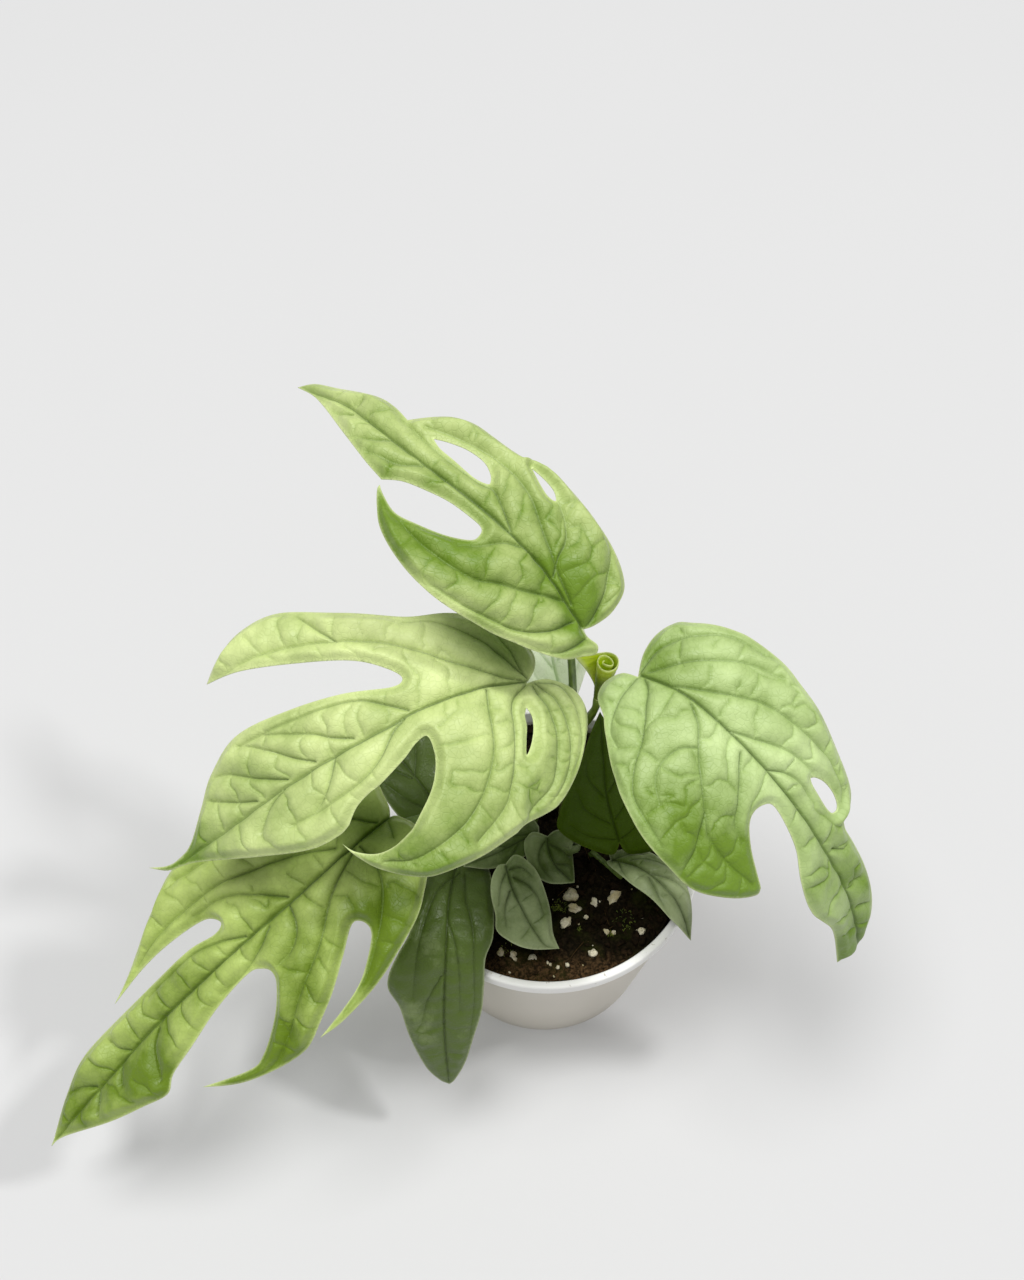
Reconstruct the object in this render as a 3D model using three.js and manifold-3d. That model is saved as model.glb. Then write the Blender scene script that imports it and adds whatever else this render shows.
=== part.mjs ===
// Potted silver amydrium: a young climbing aroid with silvery, slit and pierced leaves
// in a white plastic nursery pot.
// Millimetres, +Z up, origin at the centre of the pot's flat base.

import * as THREE from "three";
import { mergeVertices } from "three/addons/utils/BufferGeometryUtils.js";
import Module from "manifold-3d";

const wasm = await Module();
wasm.setup();

// Driving dimensions of the pot and the soil
const potHeight = 80;
const rimRadius = 50.8;
const lipHeight = 4.6;
const lipReach = 1.5;
const baseRadius = 37.5;
const wallThickness = 1.1;
const floorThickness = 2;
const potSides = 48;
const drainRadius = 3.5;
const drainCircle = 26;
const drainCount = 6;
const drainSides = 12;
const rimRound = 0.7;
const footRound = 1.3;
const soilTop = 74;
const soilRoughness = 0.7;
const soilEdgeDip = 0.6;
const soilRings = 9;
const soilSides = 36;
const soilGap = 0.55;
const clearance = 0.3;

// Driving dimensions of the plant
const bladeThickness = 0.8;
const largeBladeSteps = { edge: 3.5, inner: 6.5 };
const smallBladeSteps = { edge: 3, inner: 5 };
const petioleSides = 7;
const petioleRings = 10;
const petioleTaper = 1.6;
const seatAlong = 2;
const seatGap = 0.4;
const seatBend = 5;
const stemSides = 10;
const stemRings = 18;
const footHeights = [66, 72, 77];
const footRoom = 0.4;
const stalkHoleRadius = 1.5;
const holeSides = 10;
const wavePhaseRight = 1.7;
const waveReach = 20;

// Finishes
const finish = (color, roughness) => new THREE.MeshStandardMaterial({ color, roughness, metalness: 0 });
const whitePlastic = finish(0xf1f1ef, 0.4);
const darkSoil = finish(0x2a2118, 0.95);
const silverLeaf = finish(0xa6bf7c, 0.5);
const darkLeaf = finish(0x4b6636, 0.5);
const paleLeaf = finish(0xa9c29a, 0.55);
const newLeafGreen = finish(0xa9c22a, 0.45);
const stalkGreen = finish(0x5f7f2c, 0.5);
const stemGreen = finish(0x6c7f3a, 0.6);

// A leaf is drawn flat, x along its midrib from the petiole, y to its left, and then bent:
// rib is the midrib in space, face the way the blade looks at its base and at its tip,
// fold the degrees that the halves rise from the midrib, curl the radius that the left and
// the right half then arch down with, wave the height and length of the ripples.
// The outline is a list of smooth runs that meet in sharp corners.
const leaves = {
  top: {
    colour: silverLeaf,
    steps: largeBladeSteps,
    rib: [[8, 7, 200], [-5, 21, 213], [-23, 35, 220], [-46, 57, 221], [-73, 82, 211]],
    face: [[0.05, -0.15, 1], [0, -0.1, 1]],
    fold: 9,
    curl: [70, 55],
    wave: [0.6, 34],
    runs: [
      [[118, -0.5], [113.5, -4], [104.5, -6], [92, -9], [85, -9], [78, -7.5]],
      [[78, -7.5], [73, -13], [69, -16.5], [63.5, -19], [57, -20], [48.5, -21], [45, -21.5]],
      [[45, -21.5], [41.5, -23], [35, -23.5], [29, -22.5], [21.5, -21.5], [13.5, -20.5],
        [6.5, -18.5], [2, -15.5], [-0.5, -9.5], [-0.5, -3.5], [0.5, 0]],
      [[0.5, 0], [-2, 0], [-5.5, -1], [-7, 1], [-5, 5], [-3, 9], [2, 13.5], [8, 18], [17, 23],
        [32.7, 26.4], [41.6, 26.8], [50.3, 25], [58.9, 21.8], [64, 18], [67.5, 14.5], [68, 13]],
      [[68, 13], [65, 14.5], [59, 16], [52.5, 14.5], [45.5, 12], [40, 8.5], [39, 6], [40, 3.5],
        [44, 3], [51, 3.5], [58, 5.5], [64.5, 8], [69, 11.5]],
      [[69, 11.5], [77.5, 10], [91.2, 5.8], [104, 1.4], [111.3, -0.5], [118, -0.5]],
    ],
    holes: [
      [[68, -7.5], [64, -9.5], [58.5, -11.5], [53, -12], [49, -10.5], [47, -8.5], [47.5, -7.5],
        [51.5, -6.5], [59, -6.5], [64.5, -6.5]],
      [[41, -20], [36, -19.5], [32, -18.5], [30, -16.5], [32, -16], [35, -17]],
    ],
    petiole: { radius: [1.7, 1.15], node: [118, 248], path: [[5.5, 9.5, 140], [6, 6.5, 168]] },
  },
  left: {
    colour: silverLeaf,
    steps: largeBladeSteps,
    rib: [[-7, 5, 176], [-23, -1, 181], [-47, -11, 179], [-76, -22, 163], [-108, -33, 136]],
    face: [[-0.1, -0.3, 0.95], [-0.25, -0.3, 0.9]],
    fold: 8,
    curl: [70, 110],
    wave: [0.6, 38],
    runs: [
      [[0.5, 0.5], [-3, -3.5], [-3.5, -8], [0.5, -14], [9, -19.5], [17, -24], [28, -27],
        [42, -35.5], [58.7, -46.5], [70.8, -48], [81.4, -44.8], [88.3, -40.4]],
      [[88.3, -40.4], [75.5, -36.5], [58, -28.5], [44.5, -21], [37, -14.5], [34, -10], [38, -9],
        [51.3, -14], [66, -17.7], [85.4, -20.4], [97.9, -15.9], [106.2, -9.3], [115.5, -2.8],
        [122, -1.3], [127, -1.8], [133, -4.6]],
      [[133, -4.6], [127.4, -0.5], [121.5, 1.2], [115, 3.5], [95, 13], [79.5, 19.5], [70, 20.5],
        [65.5, 19.5]],
      [[65.5, 19.5], [61, 16.5], [56, 15], [52, 14.5], [47, 13], [42, 11], [37.5, 8.5], [34, 8],
        [34, 13], [36, 18], [40, 23], [47.5, 28.5], [51, 30], [57, 31], [63, 30], [68, 26.5],
        [70, 23]],
      [[70, 23], [68.5, 27.5], [64.5, 34], [57, 40.5], [49, 44], [33.5, 44.4], [17, 41.6],
        [1.5, 37.5], [-8, 28.5], [-14, 16.5], [-15, 9.5], [-12.5, 4], [-7, 0.5], [-3, 0],
        [0.5, 0.5]],
    ],
    holes: [[[2.8, 7.6], [1.9, 10.5], [2.5, 14.5], [4.2, 18.7], [6, 21], [5.2, 17], [4.1, 13], [3.9, 9.8]]],
    petiole: { radius: [1.7, 1.2], node: [107, 212], path: [[-1, 8, 135], [-4.5, 6, 160]] },
  },
  lower_left: {
    colour: silverLeaf,
    steps: largeBladeSteps,
    rib: [[-48, -12, 124], [-68, -30, 124], [-96, -50, 106], [-127, -70, 79], [-157, -91, 51]],
    face: [[-0.2, -0.35, 0.9], [-0.3, -0.2, 0.9]],
    fold: 8,
    curl: [80, 80],
    wave: [0.7, 42],
    runs: [
      [[0.5, 0], [-1.2, -2.5], [-2.3, -6.5], [-3, -10], [0, -14], [7, -16.5], [26, -22],
        [46.5, -30], [66, -35.5], [81, -28.7], [92.4, -23.1], [103, -18.5], [109.5, -16.1]],
      [[109.5, -16.1], [98.5, -17.2], [87.5, -17.1], [75, -16], [67, -14.5], [63.5, -12.5],
        [62, -9.5], [66, -8.5], [75.5, -10.5], [90.5, -11], [112.5, -11.5], [130.5, -11],
        [142.5, -7], [151.5, -2.5], [158, 1]],
      [[158, 1], [152, 2], [133.5, 10.5], [120, 15], [110.5, 17.5], [104.5, 14.5], [93.5, 12.5],
        [78.5, 9], [64.5, 8], [59.5, 10], [57.5, 13], [59, 17], [65.5, 23], [76.5, 29], [83, 29.5],
        [98, 24]],
      [[98, 24], [87, 31], [75, 35], [65.5, 36.5], [60, 35.5]],
      [[60, 35.5], [48.5, 30.5], [38.5, 24], [30.5, 18.5], [27.5, 19.5], [27, 23], [30, 26.5],
        [39, 32.5], [48.5, 35.5], [59, 37]],
      [[59, 37], [51, 38], [40, 37], [29, 34.5], [16, 30], [8, 24.5], [1, 18.5], [-2.8, 12.5],
        [-3.6, 7], [-2.4, 3.2], [-1, 0.8], [0.5, 0]],
    ],
    holes: [],
    petiole: { radius: [1.7, 1.2], node: [87, 200], path: [[-4, 7.5, 98], [-24, -3, 112], [-40, -10, 118]] },
  },
  right: {
    colour: silverLeaf,
    steps: largeBladeSteps,
    rib: [[24, 6, 178], [38, -5, 182], [58, -20, 171], [75, -31, 150], [88, -39, 122], [88, -48, 98]],
    face: [[0.05, -0.3, 0.95], [0.5, -0.35, 0.5]],
    fold: 7,
    curl: [70, 100],
    wave: [0.6, 36],
    runs: [
      [[0.5, -0.5], [-2, 6.5], [-2, 13.5], [1, 19], [7, 21], [15, 24.5], [21, 26.5], [31.5, 27.5],
        [40, 26], [50.5, 24.5], [62, 22.1], [71.5, 19.2], [76.5, 16.4], [79.2, 13.2], [80.2, 10]],
      [[80.2, 10], [83, 9.3], [88.5, 9.5], [100, 10], [111, 10], [122.5, 10.5], [133, 10],
        [134, 0]],
      [[134, 0], [127, -2.5], [101, -12.7], [91, -14.5], [80.3, -12.3], [71.6, -8], [61.5, -5.5],
        [55.5, -5], [53, -7], [52, -10.5], [53.5, -14], [58.5, -18], [64, -21], [69.5, -23.5]],
      [[69.5, -23.5], [70, -26], [64.5, -32], [55.5, -37.5], [46, -38.5], [34, -38], [22.5, -34],
        [10, -28], [2.5, -20], [-1, -15.5], [-5.5, -12], [-7, -8.5], [-6.5, -5], [-4, -1.5],
        [0.5, -0.5]],
    ],
    holes: [
      [[59.7, 9.1], [61.1, 10.5], [64.7, 12], [69.3, 12.3], [73, 11.4], [74.5, 10], [73.8, 8.3],
        [71, 7.7], [66.4, 7.9], [61.6, 8.4]],
    ],
    petiole: {
      radius: [1.7, 1.2],
      node: [109, 358],
      path: [[15, 13, 122], [18, 12, 140], [21.5, 8.5, 163]],
    },
  },
  rim: {
    colour: darkLeaf,
    steps: smallBladeSteps,
    rib: [[-29, -15, 91], [-31, -28, 95], [-32, -43, 91], [-33, -56, 70], [-33, -68, 40]],
    face: [[0.1, 0, 1], [0.1, -0.9, 0.3]],
    fold: 8,
    curl: [60, 60],
    wave: [0, 30],
    runs: [
      [[-2, -0.5], [-3.5, -4.5], [-0.5, -7.5], [6.5, -9], [15.5, -10], [24, -11.5], [30.5, -15],
        [37, -17.5], [42.5, -17.5], [49.5, -14], [62.5, -11], [77.5, -6.5], [85.5, -2], [88, 1]],
      [[88, 1], [85.5, 3], [77, 6.5], [64.5, 9.5], [53, 12], [42, 12.5], [31.5, 12.5], [24, 14.5],
        [12, 14], [0, 11], [-5, 7.5], [-5.5, 2.5], [-2, -0.5]],
    ],
    holes: [],
    petiole: { radius: [1, 0.8], foot: [-16, -2], path: [[-21, -9, 84]] },
  },
  front: {
    colour: darkLeaf,
    steps: smallBladeSteps,
    rib: [[-13, -17, 100], [-10, -23, 98], [-4, -32, 91], [3, -38, 83]],
    face: [[0, 0, 1], [0, 0, 1]],
    fold: 8,
    curl: [40, 40],
    wave: [0, 30],
    runs: [
      [[0, -0.5], [-1.5, 3], [0.5, 5.5], [6, 7.5], [14, 7], [22, 5], [28, 1.5], [33, 0]],
      [[33, 0], [29.5, -3.5], [24.5, -8], [20, -11], [16, -12.5], [12, -10.5], [6.5, -9], [2, -6],
        [-0.5, -3], [0, -0.5]],
    ],
    holes: [],
    petiole: { radius: [1, 0.8], foot: [-10, -22], path: [[-12.5, -20.5, 89]] },
  },
  centre: {
    colour: darkLeaf,
    steps: smallBladeSteps,
    rib: [[0, -4.4, 93], [0.3, -8.6, 92.3], [2.8, -13, 88], [9.6, -16.1, 81]],
    face: [[0, -0.2, 1], [0.1, 0, 1]],
    fold: 6,
    curl: [30, 30],
    wave: [0, 30],
    runs: [
      [[0, 0], [-1.8, 3], [-1, 8], [3, 11], [8, 11.3], [13, 9], [17, 4.5], [20, 0]],
      [[20, 0], [15, -3.5], [10.5, -6.5], [5.5, -7.6], [1, -7.2], [-1.7, -4.5], [0, 0]],
    ],
    holes: [],
    petiole: { radius: [0.9, 0.7], foot: [7, -1], path: [[5, -6, 85]] },
  },
  inner_left: {
    colour: darkLeaf,
    steps: smallBladeSteps,
    rib: [[-5, -6, 91], [-14, -12, 93], [-25, -15, 96]],
    face: [[0, -0.3, 1], [0, -0.3, 1]],
    fold: 6,
    curl: [40, 40],
    wave: [0, 30],
    runs: [
      [[-4, -2], [-5, -4.5], [-3.5, -8], [3.5, -10.5], [10, -10], [17.5, -8], [22.5, -3.5], [25, 1]],
      [[25, 1], [18, 2.5], [12, 2.5], [5, 2.5], [-2, 2], [-5, 0.5], [-4, -2]],
    ],
    holes: [],
    petiole: { radius: [0.9, 0.7], foot: [-6, 3], path: [[-6, -3, 84]] },
  },
  inner_right: {
    colour: darkLeaf,
    steps: smallBladeSteps,
    rib: [[22, -8, 101], [18, -2, 117], [16, 4, 134], [14, 11, 152]],
    face: [[0, -0.7, 0.7], [0, -0.8, 0.6]],
    fold: 6,
    curl: [50, 50],
    wave: [0, 30],
    runs: [
      [[-3, 0], [-7, 3], [-2.5, 9.5], [3.5, 15], [9, 17.5], [14.5, 15.5], [23.5, 11], [34.5, 6.5],
        [44.5, 3], [52.5, -0.5]],
      [[52.5, -0.5], [44.5, -3.5], [30.5, -9], [14, -14], [-1.5, -15], [-9, -12.5], [-9.5, -6.5],
        [-8, -1.5], [-3, 0]],
    ],
    holes: [],
    petiole: { radius: [1, 0.8], foot: [22, 5], path: [[23, 2, 88]] },
  },
  right_rim: {
    colour: darkLeaf,
    steps: smallBladeSteps,
    rib: [[20, -10, 85], [28, -17, 92], [38, -27, 92], [45, -35, 82]],
    face: [[0, 0, 1], [0.1, 0, 1]],
    fold: 9,
    curl: [40, 40],
    wave: [0, 30],
    runs: [
      [[0, 1], [-2, 3.5], [4.5, 7.5], [13, 9], [21, 9.4], [28, 7.8], [35.8, 4.2], [42.5, 0]],
      [[42.5, 0], [36, -1.5], [29.5, -3.2], [22, -3.5], [14, -4], [6, -2.5], [-0.5, -0.5], [0, 1]],
    ],
    holes: [],
    petiole: { radius: [1, 0.8], foot: [15, -3], path: [[18, -7, 80]] },
  },
  back: {
    colour: paleLeaf,
    steps: smallBladeSteps,
    rib: [[4, 21, 138], [1, 31, 147], [-2, 46, 149], [-4, 64, 141]],
    face: [[0.1, 0.1, 1], [0, 0.2, 1]],
    fold: 6,
    curl: [50, 50],
    wave: [0, 30],
    runs: [
      [[0, 0.5], [-1.5, 6], [4.5, 10], [13, 10.5], [22, 9], [32, 4.5], [47.5, -4]],
      [[47.5, -4], [33.5, -9], [20.5, -11.5], [9.5, -11], [1, -6], [-2, -2.5], [0, 0.5]],
    ],
    holes: [],
    petiole: { radius: [1.4, 1], node: [97, 135], path: [[1.5, 18.5, 112], [2.5, 20, 126]] },
  },
  hollow: {
    colour: darkLeaf,
    steps: smallBladeSteps,
    rib: [[-28, -4, 90], [-40, 7, 102], [-58, 31, 104]],
    face: [[0, -0.1, 1], [-0.2, 0, 1]],
    fold: 6,
    curl: [50, 50],
    wave: [0, 30],
    runs: [
      [[0, 0], [2, 5.5], [10.5, 9.5], [19.5, 11], [29, 10.5], [41.5, 8.5], [51, 0]],
      [[51, 0], [44, -8.5], [32.5, -15], [19, -16], [6, -12.5], [-0.5, -5.5], [0, 0]],
    ],
    holes: [],
    petiole: { radius: [1, 0.8], foot: [-4, 9], path: [[-14, 4, 84]] },
  },
};

// The climbing stem, thickened at its nodes
const stemPath = [[7, 13, 60], [7, 13, 78], [6.5, 14, 97], [7.4, 15, 116], [8.5, 15, 129]];
const stemRadius = [3, 2];
const stemNodes = [84, 97, 109, 121];
const nodeSwell = 0.45;
const nodeLength = 3;
const stemSamples = 200;

// The new leaf, rolled up round its own axis, with a loose outer edge on the left
const roll = {
  axis: [[14, 13.5, 152], [16.1, 16.3, 168]],
  innerRadius: 1,
  pitch: 1.45,
  thickness: 0.7,
  turns: [0.7, 1.95],
  startAngle: 0.29,
  flap: 9,
  flapFullness: 1.4,
  rows: 7,
  columns: 20,
  flapColumns: 2,
};
const rollPetiole = {
  radius: [1.7, 1.2],
  path: [[9, 15, 130.2], [12, 14.8, 137], [13.7, 14, 145], [13.9, 13.4, 151.2]],
};

// Perlite: the grains that show best, then a scatter, as [x, y, radius]
const seenGrains = [[8, -16.6, 2.3], [22, -17.6, 2.1], [9, -21.6, 1.7], [6, -26.6, 1.8],
  [19, -29.6, 1.2], [30, -29.6, 1.4], [-15, -36.6, 1.3], [0, -40.6, 1.1]];
const scatteredGrains = 9;
const grainSizes = [1.2, 1.6];
const grainReach = 42;
const grainGap = 0.6;
const grainSquash = [1.15, 0.9, 0.7];
const grainTurn = 1.3;
const grainLift = 0.15;
const grainSeed = 4127;
const stalkRoom = 7;

const vector = (point) => new THREE.Vector3(...point);
const mix = THREE.MathUtils.lerp;

// A seeded random number from 0 to 1
function randomSource(seed) {
  let state = seed;
  return () => {
    state = (state * 16807) % 2147483647;
    return state / 2147483647;
  };
}

function meshFrom(vertices, triangles) {
  const geometry = new THREE.BufferGeometry();
  const numbers = vertices.flatMap((v) => [v.x, v.y, v.z]);
  geometry.setAttribute("position", new THREE.Float32BufferAttribute(numbers, 3));
  geometry.setIndex(triangles.flat());
  geometry.computeVertexNormals();
  return geometry;
}

function toSolid(geometry) {
  const bare = geometry.clone();
  bare.deleteAttribute("normal");
  bare.deleteAttribute("uv");
  const merged = mergeVertices(bare, 1e-4);
  return new wasm.Manifold(new wasm.Mesh({
    numProp: 3,
    vertProperties: new Float32Array(merged.attributes.position.array),
    triVerts: new Uint32Array(merged.index.array),
  }));
}

function toGeometry(solid) {
  const mesh = solid.getMesh();
  const geometry = new THREE.BufferGeometry();
  geometry.setAttribute("position", new THREE.BufferAttribute(new Float32Array(mesh.vertProperties), 3));
  geometry.setIndex(new THREE.BufferAttribute(new Uint32Array(mesh.triVerts), 1));
  geometry.computeVertexNormals();
  return geometry;
}

// A round tube along a curve, its radius given for each fraction of the length, closed at both ends
function tube(curve, radiusAt, sides, rings) {
  const frames = curve.computeFrenetFrames(rings, false);
  const vertices = [];
  const triangles = [];
  for (let ring = 0; ring <= rings; ring++) {
    const centre = curve.getPointAt(ring / rings);
    const radius = radiusAt(ring / rings);
    for (let side = 0; side < sides; side++) {
      const angle = (side / sides) * 2 * Math.PI;
      vertices.push(centre.clone()
        .addScaledVector(frames.normals[ring], radius * Math.cos(angle))
        .addScaledVector(frames.binormals[ring], radius * Math.sin(angle)));
    }
  }
  for (let ring = 0; ring < rings; ring++) {
    for (let side = 0; side < sides; side++) {
      const a = ring * sides + side;
      const b = ring * sides + ((side + 1) % sides);
      triangles.push([a, b, b + sides], [a, b + sides, a + sides]);
    }
  }
  const last = rings * sides;
  for (let side = 1; side < sides - 1; side++) {
    triangles.push([0, side + 1, side], [last, last + side, last + side + 1]);
  }
  return meshFrom(vertices, triangles);
}

// The blade's middle surface: a point of the flat leaf carried onto the bent one
function bladeShape(leaf) {
  const rib = new THREE.CatmullRomCurve3(leaf.rib.map(vector), false, "catmullrom", 0.5);
  const length = rib.getLength();
  const [faceBase, faceTip] = leaf.face.map(vector);
  const fold = THREE.MathUtils.degToRad(leaf.fold);

  const pointAt = (x, y) => {
    const along = THREE.MathUtils.clamp(x, 0, length);
    const tangent = rib.getTangentAt(along / length);
    const face = faceBase.clone().lerp(faceTip, along / length);
    face.addScaledVector(tangent, -face.dot(tangent)).normalize();
    const side = face.clone().cross(tangent);
    const across = Math.abs(y);
    const radius = y > 0 ? leaf.curl[0] : leaf.curl[1];
    const slope = across / radius - fold;
    const reach = radius * (Math.sin(slope) + Math.sin(fold));
    const drop = radius * (Math.cos(fold) - Math.cos(slope));
    const edge = (across / waveReach) ** 2;
    const phase = (2 * Math.PI * x) / leaf.wave[1] + (y > 0 ? 0 : wavePhaseRight);
    const ripple = ((2 * leaf.wave[0] * edge) / (1 + edge)) * Math.sin(phase);
    return rib.getPointAt(along / length)
      .addScaledVector(tangent, x - along)
      .addScaledVector(side, Math.sign(y) * reach)
      .addScaledVector(face, ripple - drop);
  };
  const normalAt = (x, y) => {
    const step = 0.5;
    const alongX = pointAt(x + step, y).sub(pointAt(x - step, y));
    const alongY = pointAt(x, y + step).sub(pointAt(x, y - step));
    return alongX.cross(alongY).normalize();
  };
  return { length, pointAt, normalAt };
}

// The flat outline as points a step apart; the end of each run is the next one's start
function outlinePoints(runs, step) {
  return runs.flatMap((run) => {
    const curve = new THREE.SplineCurve(run.map(([x, y]) => new THREE.Vector2(x, y)));
    const parts = Math.max(1, Math.round(curve.getLength() / step));
    return curve.getSpacedPoints(parts).slice(0, -1);
  });
}

const turn = (a, b, c) => (b.x - a.x) * (c.y - a.y) - (b.y - a.y) * (c.x - a.x);

// Above zero where d lies inside the circle through a, b and c
function inCircle(a, b, c, d) {
  const [ax, ay, bx, by, cx, cy] = [a.x - d.x, a.y - d.y, b.x - d.x, b.y - d.y, c.x - d.x, c.y - d.y];
  const [aa, bb, cc] = [ax * ax + ay * ay, bx * bx + by * by, cx * cx + cy * cy];
  return aa * (bx * cy - by * cx) - bb * (ax * cy - ay * cx) + cc * (ax * by - ay * bx);
}

// Swaps the shared edge of two triangles wherever that makes them rounder
function roundTriangles(points, faces) {
  let changed = true;
  while (changed) {
    changed = false;
    const edges = new Map();
    faces.forEach((face, index) => face.forEach((corner, k) => {
      const next = face[(k + 1) % 3];
      const key = Math.min(corner, next) * points.length + Math.max(corner, next);
      edges.set(key, [...(edges.get(key) ?? []), [index, k]]);
    }));
    const moved = new Set();
    for (const pair of edges.values()) {
      if (pair.length < 2 || moved.has(pair[0][0]) || moved.has(pair[1][0])) continue;
      const [[first, i], [second, j]] = pair;
      const [a, b, c] = [0, 1, 2].map((k) => faces[first][(i + k) % 3]);
      const d = faces[second][(j + 2) % 3];
      if (inCircle(points[a], points[b], points[c], points[d]) > 1e-6) {
        faces[first] = [c, a, d];
        faces[second] = [c, d, b];
        moved.add(first).add(second);
        changed = true;
      }
    }
  }
}

// Triangles of a flat leaf: ears between its outline and its holes, then a grid of inner points
function triangulateLeaf(leaf) {
  const { edge, inner } = leaf.steps;
  const contour = outlinePoints(leaf.runs, edge);
  const holes = leaf.holes.map((hole) => outlinePoints([[...hole, hole[0]]], edge));
  const points = [contour, ...holes].flat();
  const border = points.length;
  const faces = THREE.ShapeUtils.triangulateShape(contour, holes)
    .map(([a, b, c]) => (turn(points[a], points[b], points[c]) > 0 ? [a, b, c] : [a, c, b]));
  const box = new THREE.Box2().setFromPoints(contour);
  const rowHeight = inner * Math.sin(Math.PI / 3);
  for (let row = Math.ceil(box.min.y / rowHeight); row * rowHeight < box.max.y; row++) {
    const shift = row % 2 === 0 ? 0 : inner / 2;
    for (let x = Math.ceil(box.min.x / inner) * inner + shift; x < box.max.x; x += inner) {
      const point = new THREE.Vector2(x, row * rowHeight);
      const tooNear = points.slice(0, border).some((other) => other.distanceTo(point) < inner / 2);
      const home = faces.findIndex(([a, b, c]) => turn(points[a], points[b], point) > 1e-3
        && turn(points[b], points[c], point) > 1e-3 && turn(points[c], points[a], point) > 1e-3);
      if (tooNear || home < 0) continue;
      const [a, b, c] = faces[home];
      const added = points.push(point) - 1;
      faces[home] = [a, b, added];
      faces.push([b, c, added], [c, a, added]);
    }
  }
  roundTriangles(points, faces);
  return { points, faces };
}

// A blade of even thickness: the same triangles above and below, joined along every edge
function blade(leaf) {
  const shape = bladeShape(leaf);
  const { points, faces } = triangulateLeaf(leaf);
  const count = points.length;
  const half = bladeThickness / 2;
  const normals = points.map(({ x, y }) => shape.normalAt(x, y));
  const middle = points.map(({ x, y }) => shape.pointAt(x, y));
  const vertices = [
    ...middle.map((point, i) => point.clone().addScaledVector(normals[i], half)),
    ...middle.map((point, i) => point.clone().addScaledVector(normals[i], -half)),
  ];
  const triangles = [];
  const openEdges = new Map();
  for (const [a, b, c] of faces) {
    triangles.push([a, b, c], [a + count, c + count, b + count]);
    for (const [from, to] of [[a, b], [b, c], [c, a]]) {
      if (!openEdges.delete(`${to} ${from}`)) openEdges.set(`${from} ${to}`, [from, to]);
    }
  }
  for (const [from, to] of openEdges.values()) {
    triangles.push([to, from, from + count], [to, from + count, to + count]);
  }
  return meshFrom(vertices, triangles);
}

const stemCurve = new THREE.CatmullRomCurve3(stemPath.map(vector), false, "centripetal");

function stemRadiusAt(fraction) {
  const height = stemCurve.getPointAt(fraction).z;
  const swell = stemNodes.reduce((sum, node) => sum + Math.exp(-(((height - node) / nodeLength) ** 2)), 0);
  return mix(stemRadius[0], stemRadius[1], fraction) + nodeSwell * swell;
}

// Where a stalk starts: upright in the soil at its foot, or against the stem at a height and a bearing
function stalkStart({ foot, node, radius }) {
  if (foot) return footHeights.map((height) => new THREE.Vector3(...foot, height));
  const [height, bearing] = node;
  const fractions = Array.from({ length: stemSamples + 1 }, (_, i) => i / stemSamples);
  const off = (fraction) => Math.abs(stemCurve.getPointAt(fraction).z - height);
  const fraction = fractions.reduce((best, other) => (off(other) < off(best) ? other : best));
  const angle = THREE.MathUtils.degToRad(bearing);
  const reach = stemRadiusAt(fraction) + radius[0] + clearance;
  const outward = new THREE.Vector3(Math.cos(angle), Math.sin(angle), 0);
  return [stemCurve.getPointAt(fraction).addScaledVector(outward, reach)];
}

// A petiole from its start to its seat under the blade's base, where it bends up to meet the blade
function petiole(leaf) {
  const { radius, path } = leaf.petiole;
  const shape = bladeShape(leaf);
  const normal = shape.normalAt(seatAlong, 0);
  const seat = shape.pointAt(seatAlong, 0).addScaledVector(normal, -(bladeThickness / 2 + seatGap));
  const below = seat.clone().addScaledVector(normal, -seatBend);
  const curve = new THREE.CatmullRomCurve3(
    [...stalkStart(leaf.petiole), ...path.map(vector), below, seat], false, "centripetal");
  return tube(curve, (t) => mix(...radius, Math.min(1, t * petioleTaper)), petioleSides, petioleRings);
}

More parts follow.
